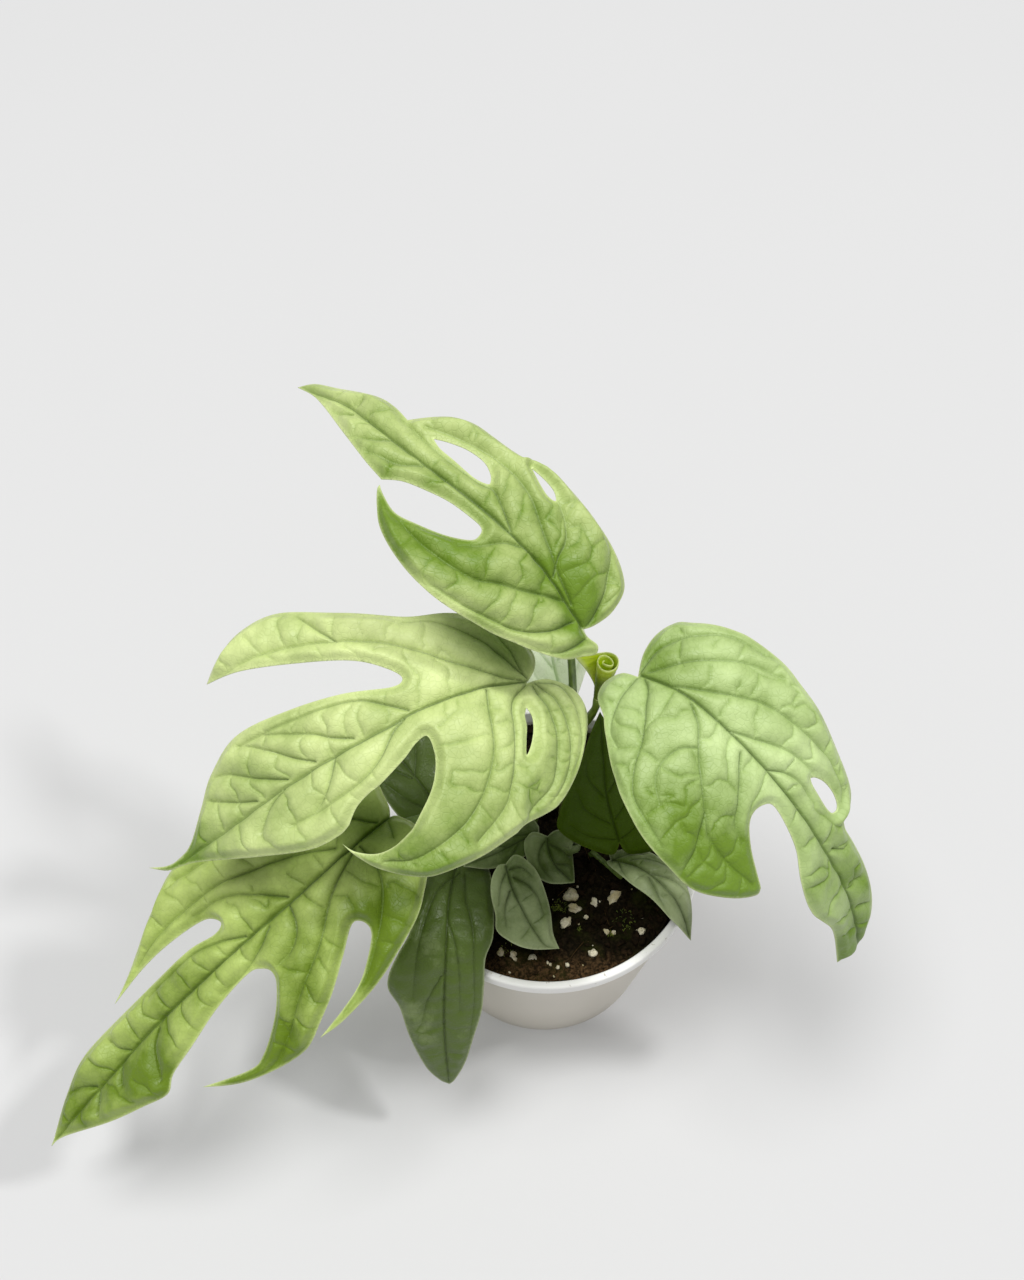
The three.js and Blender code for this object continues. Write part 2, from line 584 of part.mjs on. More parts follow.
// The rolled leaf: a strip wound as a spiral round the axis, with more turns towards its top
function rolledLeaf() {
  const [foot, top] = roll.axis.map(vector);
  const axis = top.clone().sub(foot).normalize();
  const right = new THREE.Vector3(1, 0, 0).addScaledVector(axis, -axis.x).normalize();
  const back = axis.clone().cross(right);
  const vertices = [];
  const triangles = [];
  const layer = (roll.rows + 1) * (roll.columns + 1);
  for (const side of [1, -1]) {
    for (let row = 0; row <= roll.rows; row++) {
      const up = row / roll.rows;
      const turns = mix(roll.turns[0], roll.turns[1], up);
      const windings = turns * 2 * Math.PI;
      const flap = roll.flap * up ** roll.flapFullness;
      const woundColumns = roll.columns - roll.flapColumns;
      for (let column = 0; column <= roll.columns; column++) {
        const wound = Math.min(1, column / woundColumns);
        const loose = Math.max(0, (column - woundColumns) / roll.flapColumns);
        const angle = roll.startAngle * 2 * Math.PI + windings * (wound - 1);
        const radius = roll.innerRadius + roll.pitch * turns * wound + (side * roll.thickness) / 2;
        const outward = right.clone().multiplyScalar(Math.cos(angle)).addScaledVector(back, Math.sin(angle));
        const onward = right.clone().multiplyScalar(-Math.sin(angle)).addScaledVector(back, Math.cos(angle));
        vertices.push(foot.clone().lerp(top, up)
          .addScaledVector(outward, radius)
          .addScaledVector(onward, flap * loose));
      }
    }
  }
  const at = (row, column) => row * (roll.columns + 1) + column;
  const quad = (a, b, c, d) => triangles.push([a, b, c], [a, c, d]);
  for (let row = 0; row < roll.rows; row++) {
    for (let column = 0; column < roll.columns; column++) {
      const [a, b] = [at(row, column), at(row, column + 1)];
      const [c, d] = [at(row + 1, column + 1), at(row + 1, column)];
      quad(a, b, c, d);
      quad(a + layer, d + layer, c + layer, b + layer);
    }
    for (const column of [0, roll.columns]) {
      const [a, b] = column === 0 ? [at(row, 0), at(row + 1, 0)] : [at(row + 1, column), at(row, column)];
      quad(a, b, b + layer, a + layer);
    }
  }
  for (let column = 0; column < roll.columns; column++) {
    quad(at(0, column + 1), at(0, column), at(0, column) + layer, at(0, column + 1) + layer);
    const row = roll.rows;
    quad(at(row, column), at(row, column + 1), at(row, column + 1) + layer, at(row, column) + layer);
  }
  return meshFrom(vertices, triangles);
}

// The pot turned about its axis, with drain holes through its floor
function pot() {
  const wallTop = rimRadius - lipReach;
  const lipBottom = potHeight - lipHeight;
  const innerTop = wallTop - wallThickness;
  const profile = [
    [0, 0], [baseRadius - footRound, 0], [baseRadius - footRound * 0.3, footRound * 0.3],
    [baseRadius, footRound], [wallTop, lipBottom],
    [rimRadius - rimRound / 2, lipBottom], [rimRadius, lipBottom + rimRound / 2],
    [rimRadius, potHeight - rimRound], [rimRadius - rimRound * 0.3, potHeight - rimRound * 0.3],
    [rimRadius - rimRound, potHeight], [innerTop + rimRound, potHeight], [innerTop, potHeight - rimRound],
    [baseRadius - wallThickness, floorThickness], [0, floorThickness],
  ];
  const wall = new THREE.LatheGeometry(profile.map(([r, z]) => new THREE.Vector2(r, z)), potSides);
  wall.rotateX(Math.PI / 2);
  let solid = toSolid(wall);
  for (let hole = 0; hole < drainCount; hole++) {
    const angle = (hole / drainCount) * 2 * Math.PI;
    const cutter = new THREE.CylinderGeometry(drainRadius, drainRadius, floorThickness * 3, drainSides);
    cutter.rotateX(Math.PI / 2);
    cutter.translate(drainCircle * Math.cos(angle), drainCircle * Math.sin(angle), floorThickness / 2);
    solid = solid.subtract(toSolid(cutter));
  }
  return toGeometry(solid);
}

// Height of the soil's crumbly top, two crossing ripples
function soilHeight(x, y) {
  const crumbs = Math.sin(x * 0.43 + 1.1) * Math.cos(y * 0.37) + 0.6 * Math.sin(x * 0.21 - y * 0.52);
  return soilTop + soilRoughness * crumbs;
}

const stalkFeet = Object.values(leaves).filter((leaf) => leaf.petiole.foot).map((leaf) => leaf.petiole.foot);

function perliteGrains() {
  const random = randomSource(grainSeed);
  const grains = [...seenGrains];
  while (grains.length < seenGrains.length + scatteredGrains) {
    const distance = grainReach * Math.sqrt(random());
    const angle = 2 * Math.PI * random();
    const radius = mix(grainSizes[0], grainSizes[1], random());
    const [x, y] = [distance * Math.cos(angle), distance * Math.sin(angle)];
    const blocked = [...stalkFeet, stemPath[0]].some(([fx, fy]) => Math.hypot(x - fx, y - fy) < stalkRoom);
    const crowded = grains.some(([gx, gy, size]) => Math.hypot(x - gx, y - gy) < radius + size + grainGap);
    if (!blocked && !crowded) grains.push([x, y, radius]);
  }
  return grains.map(([x, y, radius], index) => {
    const grain = new THREE.IcosahedronGeometry(radius, 0);
    grain.scale(...grainSquash);
    grain.rotateZ(index * grainTurn);
    grain.translate(x, y, soilHeight(x, y) + radius * grainLift);
    return grain;
  });
}

// The soil fills the pot; every stalk that grows from it stands in a plain hole
function soil() {
  const wallTop = rimRadius - lipReach - wallThickness;
  const floorRadius = baseRadius - wallThickness - soilGap;
  const topRadius = mix(floorRadius, wallTop - soilGap, soilTop / potHeight);
  const vertices = [new THREE.Vector3(0, 0, soilHeight(0, 0))];
  const triangles = [];
  const index = (ring, side) => 1 + (ring - 1) * soilSides + (side % soilSides);
  for (let ring = 1; ring <= soilRings; ring++) {
    for (let side = 0; side < soilSides; side++) {
      const angle = (side / soilSides) * 2 * Math.PI;
      const radius = (topRadius * ring) / soilRings;
      const [x, y] = [radius * Math.cos(angle), radius * Math.sin(angle)];
      vertices.push(new THREE.Vector3(x, y, soilHeight(x, y) - (ring === soilRings ? soilEdgeDip : 0)));
      const [a, b] = [index(ring, side), index(ring, side + 1)];
      const [c, d] = [index(ring - 1, side), index(ring - 1, side + 1)];
      if (ring === 1) triangles.push([0, a, b]);
      else triangles.push([c, a, b], [c, b, d]);
    }
  }
  const floorZ = floorThickness + clearance;
  const centre = vertices.length;
  vertices.push(new THREE.Vector3(0, 0, floorZ));
  for (let side = 0; side < soilSides; side++) {
    const angle = (side / soilSides) * 2 * Math.PI;
    vertices.push(new THREE.Vector3(floorRadius * Math.cos(angle), floorRadius * Math.sin(angle), floorZ));
    const [a, b] = [centre + 1 + side, centre + 1 + ((side + 1) % soilSides)];
    const [c, d] = [index(soilRings, side), index(soilRings, side + 1)];
    triangles.push([centre, b, a], [c, a, b], [c, b, d]);
  }
  let solid = toSolid(meshFrom(vertices, triangles));
  for (const grain of perliteGrains()) solid = solid.add(toSolid(grain));
  const holes = stalkFeet.map(([x, y]) => ({ x, y, bottom: footHeights[0], radius: stalkHoleRadius }));
  const [stemX, stemY, stemFoot] = stemPath[0];
  holes.push({ x: stemX, y: stemY, bottom: stemFoot, radius: stemRadius[0] + footRoom });
  for (const { x, y, bottom, radius } of holes) {
    const hole = new THREE.LineCurve3(
      new THREE.Vector3(x, y, bottom - clearance), new THREE.Vector3(x, y, soilTop + soilRoughness * 4));
    solid = solid.subtract(toSolid(tube(hole, () => radius, holeSides, 1)));
  }
  return toGeometry(solid);
}

const plant = new THREE.Group();

function add(name, geometry, material) {
  const mesh = new THREE.Mesh(geometry, material);
  mesh.name = name;
  plant.add(mesh);
}

add("pot", pot(), whitePlastic);
add("soil", soil(), darkSoil);
add("stem", tube(stemCurve, stemRadiusAt, stemSides, stemRings), stemGreen);
for (const [name, leaf] of Object.entries(leaves)) {
  add(`${name}_blade`, blade(leaf), leaf.colour);
  add(`${name}_petiole`, petiole(leaf), stalkGreen);
}
add("new_leaf", rolledLeaf(), newLeafGreen);
const rollCurve = new THREE.CatmullRomCurve3(rollPetiole.path.map(vector), false, "centripetal");
const rollRadiusAt = (fraction) => mix(...rollPetiole.radius, fraction);
add("new_leaf_petiole", tube(rollCurve, rollRadiusAt, petioleSides, petioleRings), stalkGreen);

export default plant;
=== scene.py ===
import math

import bpy
import numpy as np
from mathutils.geometry import delaunay_2d_cdt
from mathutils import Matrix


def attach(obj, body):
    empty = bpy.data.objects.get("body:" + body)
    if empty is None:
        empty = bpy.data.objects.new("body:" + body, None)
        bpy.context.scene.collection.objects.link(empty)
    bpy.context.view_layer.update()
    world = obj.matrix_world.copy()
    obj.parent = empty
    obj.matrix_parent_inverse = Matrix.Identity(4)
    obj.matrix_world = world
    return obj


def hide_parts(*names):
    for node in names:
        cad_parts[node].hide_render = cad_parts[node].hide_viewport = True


# A silvery climbing aroid with slit and pierced leaves, in a white plastic nursery pot.
# Every measure is in millimetres until a mesh is made; +Z up, the pot's base centred on the origin.

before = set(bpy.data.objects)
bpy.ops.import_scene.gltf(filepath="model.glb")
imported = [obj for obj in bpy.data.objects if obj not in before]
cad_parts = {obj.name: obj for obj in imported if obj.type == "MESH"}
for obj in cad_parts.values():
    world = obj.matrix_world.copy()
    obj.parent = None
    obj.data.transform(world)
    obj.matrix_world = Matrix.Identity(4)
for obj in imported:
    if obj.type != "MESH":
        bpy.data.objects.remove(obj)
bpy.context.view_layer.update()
millimetre = 0.001


# small tools

def srgb(red, green, blue):
    # a screen colour, each part 0 to 255, as the linear colour that a shader wants
    part = np.array([red, green, blue]) / 255
    linear = np.where(part > 0.04045, ((part + 0.055) / 1.055) ** 2.4, part / 12.92)
    return [*linear.tolist(), 1.0]


def unit(vectors):
    # each vector over its own length
    return vectors / np.linalg.norm(vectors, axis=-1, keepdims=True)


def smoothStep(value, low, high):
    # 0 below low, 1 above high, with an even rise between
    share = np.clip((value - low) / (high - low), 0, 1)
    return share * share * (3 - 2 * share)


def hump(distance, width):
    # 1 at no distance, falling off as a bell of that width
    return np.exp(-(distance / width) ** 2)


def ripples(x, y, size, seed):
    # soft unevenness between about -1 and 1: plane waves of seeded directions added up
    waves = 6
    chance = np.random.default_rng(seed)
    total = np.zeros(np.broadcast(x, y).shape)
    for _ in range(waves):
        turn = chance.uniform(0, 2 * math.pi)
        pace = 2 * math.pi / (size * chance.uniform(0.7, 1.6))
        total += np.sin(pace * (x * math.cos(turn) + y * math.sin(turn)) + chance.uniform(0, 6.3))
    return total / math.sqrt(waves)


def lumps(x, y, size, seed):
    # crumbs: in each square of a grid one ball of seeded place and size, and the highest one shows
    def scatter(column, row, salt):
        # a whole-number hash of the square, as a share between 0 and 1
        mixed = (column * 374761393 + row * 668265263 + (seed + salt) * 974711) & 0xFFFFFFFF
        mixed = ((mixed ^ (mixed >> 13)) * 1274126177) & 0xFFFFFFFF
        return ((mixed ^ (mixed >> 16)) & 0xFFFF) / 65536
    height = np.zeros(np.broadcast(x, y).shape)
    column = np.floor(x / size).astype(np.int64)
    row = np.floor(y / size).astype(np.int64)
    for across in (-1, 0, 1):
        for along in (-1, 0, 1):
            c = column + across
            r = row + along
            ballX = (c + scatter(c, r, 1)) * size
            ballY = (r + scatter(c, r, 2)) * size
            ball = size * (0.3 + 0.45 * scatter(c, r, 3))
            gap = ball ** 2 - (x - ballX) ** 2 - (y - ballY) ** 2
            height = np.maximum(height, np.sqrt(np.maximum(gap, 0)) * 0.8)
    return height


def between(pair, share):
    # the first of the pair plus that share of the way to the second
    return pair[0] + (pair[1] - pair[0]) * share


def around(count):
    # even angles round one full turn
    return np.linspace(0, 2 * math.pi, count, endpoint=False)


def spline(points, perSpan=24, mirrored=True, centripetal=False):
    # a cubic through every point, whose slope at a point comes from the points on either side of it
    p = np.array(points, float)
    before = 2 * p[0] - p[1] if mirrored else p[0]
    after = 2 * p[-1] - p[-2] if mirrored else p[-1]
    q = np.vstack([before, p, after])
    p0, p1, p2, p3 = q[:-3], q[1:-2], q[2:-1], q[3:]
    if centripetal:
        step = np.sqrt(np.linalg.norm(np.diff(q, axis=0), axis=1))[:, None]
        s0, s1, s2 = step[:-2], step[1:-1], step[2:]
        leave = ((p1 - p0) / s0 - (p2 - p0) / (s0 + s1) + (p2 - p1) / s1) * s1
        arrive = ((p2 - p1) / s1 - (p3 - p1) / (s1 + s2) + (p3 - p2) / s2) * s1
    else:
        leave = (p2 - p0) / 2
        arrive = (p3 - p1) / 2
    t = np.linspace(0, 1, perSpan, endpoint=False)[None, :, None]
    cubic = 2 * (p1 - p2) + leave + arrive
    square = 3 * (p2 - p1) - 2 * leave - arrive
    curve = p1[:, None] + leave[:, None] * t + square[:, None] * t ** 2 + cubic[:, None] * t ** 3
    return np.vstack([curve.reshape(-1, p.shape[1]), p[-1:]])


def lengths(curve):
    # how far along the curve each of its points is: the sum of the gaps before it
    return np.concatenate([[0], np.cumsum(np.linalg.norm(np.diff(curve, axis=0), axis=1))])


def pointsAt(curve, distance):
    # the places that lie each distance along the curve
    gone = lengths(curve)
    return np.stack([np.interp(distance, gone, curve[:, k]) for k in range(curve.shape[1])], -1)


def evenly(curve, step, keepEnd=True):
    # points along the curve at even gaps, about one step each
    total = lengths(curve)[-1]
    count = max(1, round(total / step))
    return pointsAt(curve, np.linspace(0, total, count + 1)[: None if keepEnd else -1])


def gridFaces(rows, columns, ringed=False):
    # squares between neighbouring rows of points, and round from the last column to the first if ringed
    row, column = np.meshgrid(np.arange(rows - 1), np.arange(columns - (0 if ringed else 1)), indexing="ij")
    beside = (column + 1) % columns
    corners = [row * columns + column, row * columns + beside,
               (row + 1) * columns + beside, (row + 1) * columns + column]
    return np.stack(corners, -1).reshape(-1, 4)


def ringPairs(count):
    # each place of a ring and the place after it
    index = np.arange(count)
    return index, (index + 1) % count


def fan(hub, first, second):
    # triangles from one point to each pair of the others
    return np.stack([np.full(len(first), hub), first, second], -1)


def volume(points, faces):
    # six times the volume, from the tetrahedra between the origin and each face's fan of triangles
    total = 0.0
    for part in faces:
        part = np.asarray(part)
        for k in range(1, part.shape[1] - 1):
            a, b, c = points[part[:, 0]], points[part[:, k]], points[part[:, k + 1]]
            total += float((a * np.cross(b, c)).sum())
    return total


def addObject(name, data):
    thing = bpy.data.objects.new(name, data)
    bpy.context.scene.collection.objects.link(thing)
    return thing


def makePiece(name, points, faces, material, slot, replaces=(), values=None, flat=None):
    # faces is a list of arrays, each of faces with the same number of corners
    if volume(points, faces) < 0:
        faces = [np.asarray(part)[:, ::-1] for part in faces]
    corners = [face for part in faces for face in np.asarray(part).tolist()]
    mesh = bpy.data.meshes.new(name)
    mesh.from_pydata((points * millimetre).tolist(), [], corners)
    mesh.polygons.foreach_set("use_smooth", np.ones(len(corners), bool))
    for label, numbers in (values or {}).items():
        layer = mesh.attributes.new(label, "FLOAT", "POINT")
        layer.data.foreach_set("value", np.asarray(numbers, np.float32))
    if flat is not None:
        layer = mesh.uv_layers.new(name="leafMap")
        loop = np.concatenate([np.asarray(part).ravel() for part in faces])
        layer.data.foreach_set("uv", (flat[loop] / 100).astype(np.float32).ravel())
    mesh.update()
    piece = addObject(name, mesh)
    mesh.materials.append(material)
    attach(piece, "root")
    if replaces:
        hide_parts(*replaces)
    return piece


# building materials from nodes

def startMaterial(name):
    material = bpy.data.materials.new(name)
    material.use_nodes = True
    return material, material.node_tree, material.node_tree.nodes["Principled BSDF"]


def plug(tree, socket, value):
    if isinstance(value, bpy.types.NodeSocket):
        tree.links.new(value, socket)
    else:
        socket.default_value = value


def put(tree, kind, settings=None, **inputs):
    node = tree.nodes.new("ShaderNode" + kind)
    for key, value in (settings or {}).items():
        setattr(node, key, value)
    for key, value in inputs.items():
        plug(tree, node.inputs[key], value)
    return node


def maths(tree, operation, first, second, clamp=False):
    node = put(tree, "Math", {"operation": operation, "use_clamp": clamp})
    plug(tree, node.inputs[0], first)
    plug(tree, node.inputs[1], second)
    return node.outputs[0]


def times(tree, first, second, clamp=False):
    return maths(tree, "MULTIPLY", first, second, clamp)


def ranged(tree, value, low, high, toLow=0.0, toHigh=1.0):
    node = put(tree, "MapRange", {"interpolation_type": "SMOOTHSTEP"}, Value=value)
    for key, limit in (("From Min", low), ("From Max", high), ("To Min", toLow), ("To Max", toHigh)):
        node.inputs[key].default_value = limit
    return node.outputs["Result"]


def blendColours(tree, share, first, second):
    node = put(tree, "Mix", {"data_type": "RGBA"})
    plug(tree, node.inputs[0], share)
    plug(tree, node.inputs[6], first)
    plug(tree, node.inputs[7], second)
    return node.outputs[2]


def value(tree, name):
    return put(tree, "Attribute", {"attribute_name": name}).outputs["Fac"]


def noise(tree, where, scale, detail=3.0, roughness=0.55):
    node = put(tree, "TexNoise", Vector=where, Scale=scale, Detail=detail, Roughness=roughness)
    return node.outputs["Fac"]


def cells(tree, where, scale, feature="DISTANCE_TO_EDGE"):
    node = put(tree, "TexVoronoi", {"feature": feature}, Vector=where, Scale=scale)
    return node.outputs["Distance"]


def coats(tree, colour, *layers):
    # screen colours laid over a colour, each by its share
    for share, over in layers:
        colour = blendColours(tree, share, colour, srgb(*over))
    return colour


def dress(tree, shader, colour, roughness, gloss=None):
    # what every material ends with; a socket is linked, and a constant is set on the shader
    for key, part in (("Base Color", colour), ("Roughness", roughness), ("Specular IOR Level", gloss)):
        if part is not None:
            plug(tree, shader.inputs[key], part)


def objectPlace(tree):
    return put(tree, "TexCoord").outputs["Object"]


def bump(tree, shader, height, strength, distance):
    node = put(tree, "Bump", Height=height, Strength=strength, Distance=distance)
    tree.links.new(node.outputs["Normal"], shader.inputs["Normal"])


# camera, light and floor

view = {
    "place": (-11.4, -235.2, 592.2),
    "tilt": 31.4,             # degrees up from straight down
    "lens": 47.8125,          # on a 36 mm sensor, for an image of 1024 x 1280
    "floorReach": 4000,
    "floorColour": srgb(192, 192, 192),
    "floorGlow": 0.142,
    "skyColour": (1.0, 1.0, 1.0, 1.0),
    "skyStrength": 0.36,
    "lights": {               # place, aim, size and power in watts
        "keyLight": ((-550, -50, 3000), (0, 0, 120), 1300, 62),
        "shadowLight": ((1750, 0, 3000), (0, 0, 120), 300, 40),
    },
}

camera = addObject("camera", bpy.data.cameras.new("camera"))
camera.location = [part * millimetre for part in view["place"]]
camera.rotation_euler = (math.radians(view["tilt"]), 0, 0)
camera.data.lens = view["lens"]
camera.data.sensor_width = 36
bpy.context.scene.camera = camera

sky = bpy.data.worlds.new("paleSky")
bpy.context.scene.world = sky
sky.use_nodes = True
sky.node_tree.nodes["Background"].inputs["Color"].default_value = view["skyColour"]
sky.node_tree.nodes["Background"].inputs["Strength"].default_value = view["skyStrength"]
bpy.context.scene.view_settings.view_transform = "Standard"

for lightName, (place, aim, size, power) in view["lights"].items():
    lamp = bpy.data.lights.new(lightName, "AREA")
    lamp.shape = "DISK"
    lamp.size = size * millimetre
    lamp.energy = power
    lampObject = addObject(lightName, lamp)
    lampObject.location = [part * millimetre for part in place]
    away = np.array(place, float) - np.array(aim, float)
    level = math.hypot(away[0], away[1])
    lampObject.rotation_euler = (math.atan2(level, away[2]), 0, math.atan2(away[0], -away[1]))


def makeFloor():
    # one large square at the height of the pot's base
    material, tree, shader = startMaterial("palePaper")
    grain = noise(tree, objectPlace(tree), 3.0)
    tone = coats(tree, view["floorColour"], (ranged(tree, grain, 0.3, 0.7), (193, 193, 193)))
    dress(tree, shader, tone, 0.9, 0.1)
    shader.inputs["Emission Color"].default_value = (1, 1, 1, 1)
    shader.inputs["Emission Strength"].default_value = view["floorGlow"]
    r = view["floorReach"] * millimetre
    mesh = bpy.data.meshes.new("floor")
    mesh.from_pydata([(-r, -r, 0), (r, -r, 0), (r, r, 0), (-r, r, 0)], [], [(0, 1, 2, 3)])
    mesh.materials.append(material)
    addObject("floor", mesh)


makeFloor()
print("camera, light and floor ready")


# leaves

# A leaf is drawn flat, x along its midrib from the stalk, y to its left, and then bent:
# rib is the midrib in space, face the way the blade looks at its base and at its tip,
# fold the degrees that the halves rise from the midrib, curl the radius that the left and
# the right half arch down with, wave the height and length of the ripples.
# A stalk grows from a node of the stem, at a height and a bearing, or from a foot in the soil.
# silver is the share of silver in its colour, shade how green it is beside its veins, partly its own
# green and partly painted shade in their grooves, bulge how strongly the blade rises between its main
# veins and between its cross ties, deep the places, sizes and strengths of its deeper green, partly its
# own colour and partly painted shade, and of painted light where a strength is negative. runs is its
# border, in smooth runs that each start where the one before ends, veins its side veins and ties the
# thin veins across between them.
leaves = {}
leaves["top"] = dict(
    finish="silver", silver=0.7, shade=0.3, bulge=(1.6, 0.95), fold=9, curl=(70, 55), wave=(0.6, 34),
    rib=[(8, 7, 200), (-5, 21, 213), (-23, 35, 220), (-46, 57, 221), (-73, 82, 211)],
    face=[(0.05, -0.15, 1), (0, -0.1, 1)],
    deepGreenAndShade=[(3, -1, 5, 1), (8, -3, 7, 0.6), (17, -3, 7, 0.35), (9, -11, 9, 0.25), (25, -7, 9, 0.45),
          (9, 4, 6, -0.25), (52, 21, 10, 0.35), (62, 17, 8, 0.6), (22, 9, 12, 0.2), (43, 12, 10, 0.5),
          (37, 20, 7, 0.25), (32, 27, 6, -0.5), (6, 18, 6, -0.3), (58, -4, 8, 0.25), (66, -12, 6, -0.3),
          (72, 10, 8, 0.2), (97, 0, 15, -0.3)],
    midrib=[(0, 0), (25, 0), (38, -1), (50, -1), (62, 0), (75, 0.3), (88, -1), (98, -2), (117, -0.8)],
    stalk={"radius": (1.7, 1.15), "node": (118, 248), "path": [(5.5, 9.5, 140), (6, 6.5, 168)]},
    runs=[
        [(113.5, -4), (104.5, -6), (92, -9), (85, -9), (78, -7.5)],
        [(73, -13), (69, -16.5), (63.5, -19), (57, -20), (48.5, -21), (45, -21.5)],
        [(41.5, -23), (35, -23.5), (29, -22.5), (21.5, -21.5), (13.5, -20.5), (6.5, -18.5), (2, -15.5),
         (-0.5, -9.5), (-0.5, -3.5), (0.5, 0)],
        [(-2, 0), (-5.5, -1), (-7, 1), (-5, 5), (-3, 9), (2, 13.5), (8, 18), (17, 23), (32.7, 26.4),
         (41.6, 26.8), (50.3, 25), (58.9, 21.8), (64, 18), (67.5, 14.5), (68, 13)],
        [(65, 14.5), (59, 16), (52.5, 14.5), (45.5, 12), (40, 8.5), (39, 6), (40, 3.5), (44, 3), (51, 3.5),
         (58, 5.5), (64.5, 8), (69, 11.5)],
        [(77.5, 10), (91.2, 5.8), (104, 1.4), (111.3, -0.5), (118, -0.5)],
    ],
    holes=[
        [(68, -7.5), (64, -9.5), (58.5, -11.5), (53, -12), (49, -10.5), (47, -8.5), (47.5, -7.5),
         (51.5, -6.5), (59, -6.5), (64.5, -6.5)],
        [(41, -20), (36, -19.5), (32, -18.5), (30, -16.5), (32, -16), (35, -17)],
    ],
    veins=[
        [(-2, 1), (-1.5, 6), (0.5, 11), (8, 18)], [(4, 2), (6, 9), (11, 16), (18, 20), (28, 23), (40, 25.3)],
        [(10, 0.5), (14, 4), (20, 9), (27, 13), (33, 16.5), (42, 18), (50, 18), (58, 16.5), (66, 14)],
        [(29, 0.5), (33, 3), (37, 8), (41, 12)], [(64, 1), (69, 5), (79, 8)], [(77, 1), (81, 4), (87, 6)],
        [(93, 0), (96, 1.5), (100, 1.5)], [(0.5, -1), (2, -5), (6, -11), (13, -19)],
        [(17, -1), (20, -5), (22, -10), (27, -15), (32, -17)],
        [(8, -1), (18, -3), (27, -7), (35, -12), (43, -14.5), (53, -14.5), (63, -12), (72, -8.5)],
        [(33, -1), (38, -4), (44, -7), (50, -6), (62, -5), (72, -5.5), (79, -6.5)],
    ],
    ties=[
        [(36.4, 24), (35.9, 20), (37.4, 17.5)], [(42.5, 25), (43.5, 21), (43, 18)],
        [(50.5, 23), (50, 20), (52, 18)], [(23, 20.5), (22.5, 16), (25, 13)], [(16, 19), (19, 14), (20, 11)],
        [(10, 14), (14, 9)], [(3, 10), (7, 7)], [(21, 10), (23, 7), (26, 5), (26.5, 1)],
        [(14, 7), (17, 4), (19, 0.5)], [(30, 17), (33, 10), (34, 5)],
        [(8.5, -1), (10.5, -7), (11, -11), (9.5, -15)], [(16, -2), (15.5, -10), (17, -14), (16, -20)],
        [(20, -5), (20, -11), (21.5, -15)], [(21.5, -4), (24, -10), (26, -13), (27, -20)],
        [(29, -7), (30, -14), (31, -17)], [(33, -2), (35, -7), (37, -12)], [(41, -6), (43, -10), (44, -15)],
        [(49, -11.5), (51, -15)], [(11, -11), (16, -10)], [(17, -14), (22, -15)], [(24, -10), (29, -10)],
        [(3, -7), (4, -14)], [(5, -15), (9.5, -15)], [(69, 9.5), (72, 6)], [(77, -5), (81, -8)],
        [(87, -2), (83, -7)], [(95, -2), (93, -6)], [(61, -5), (62, 0)], [(53, -1), (55, -6)],
        [(43, -1.5), (45, -6)], [(56, 1), (59, 5)], [(86, 0), (88, 3)], [(103, -2), (101, -5)],
        [(58, -13), (62, -17)], [(70, -9), (72, -12)],
    ],
)
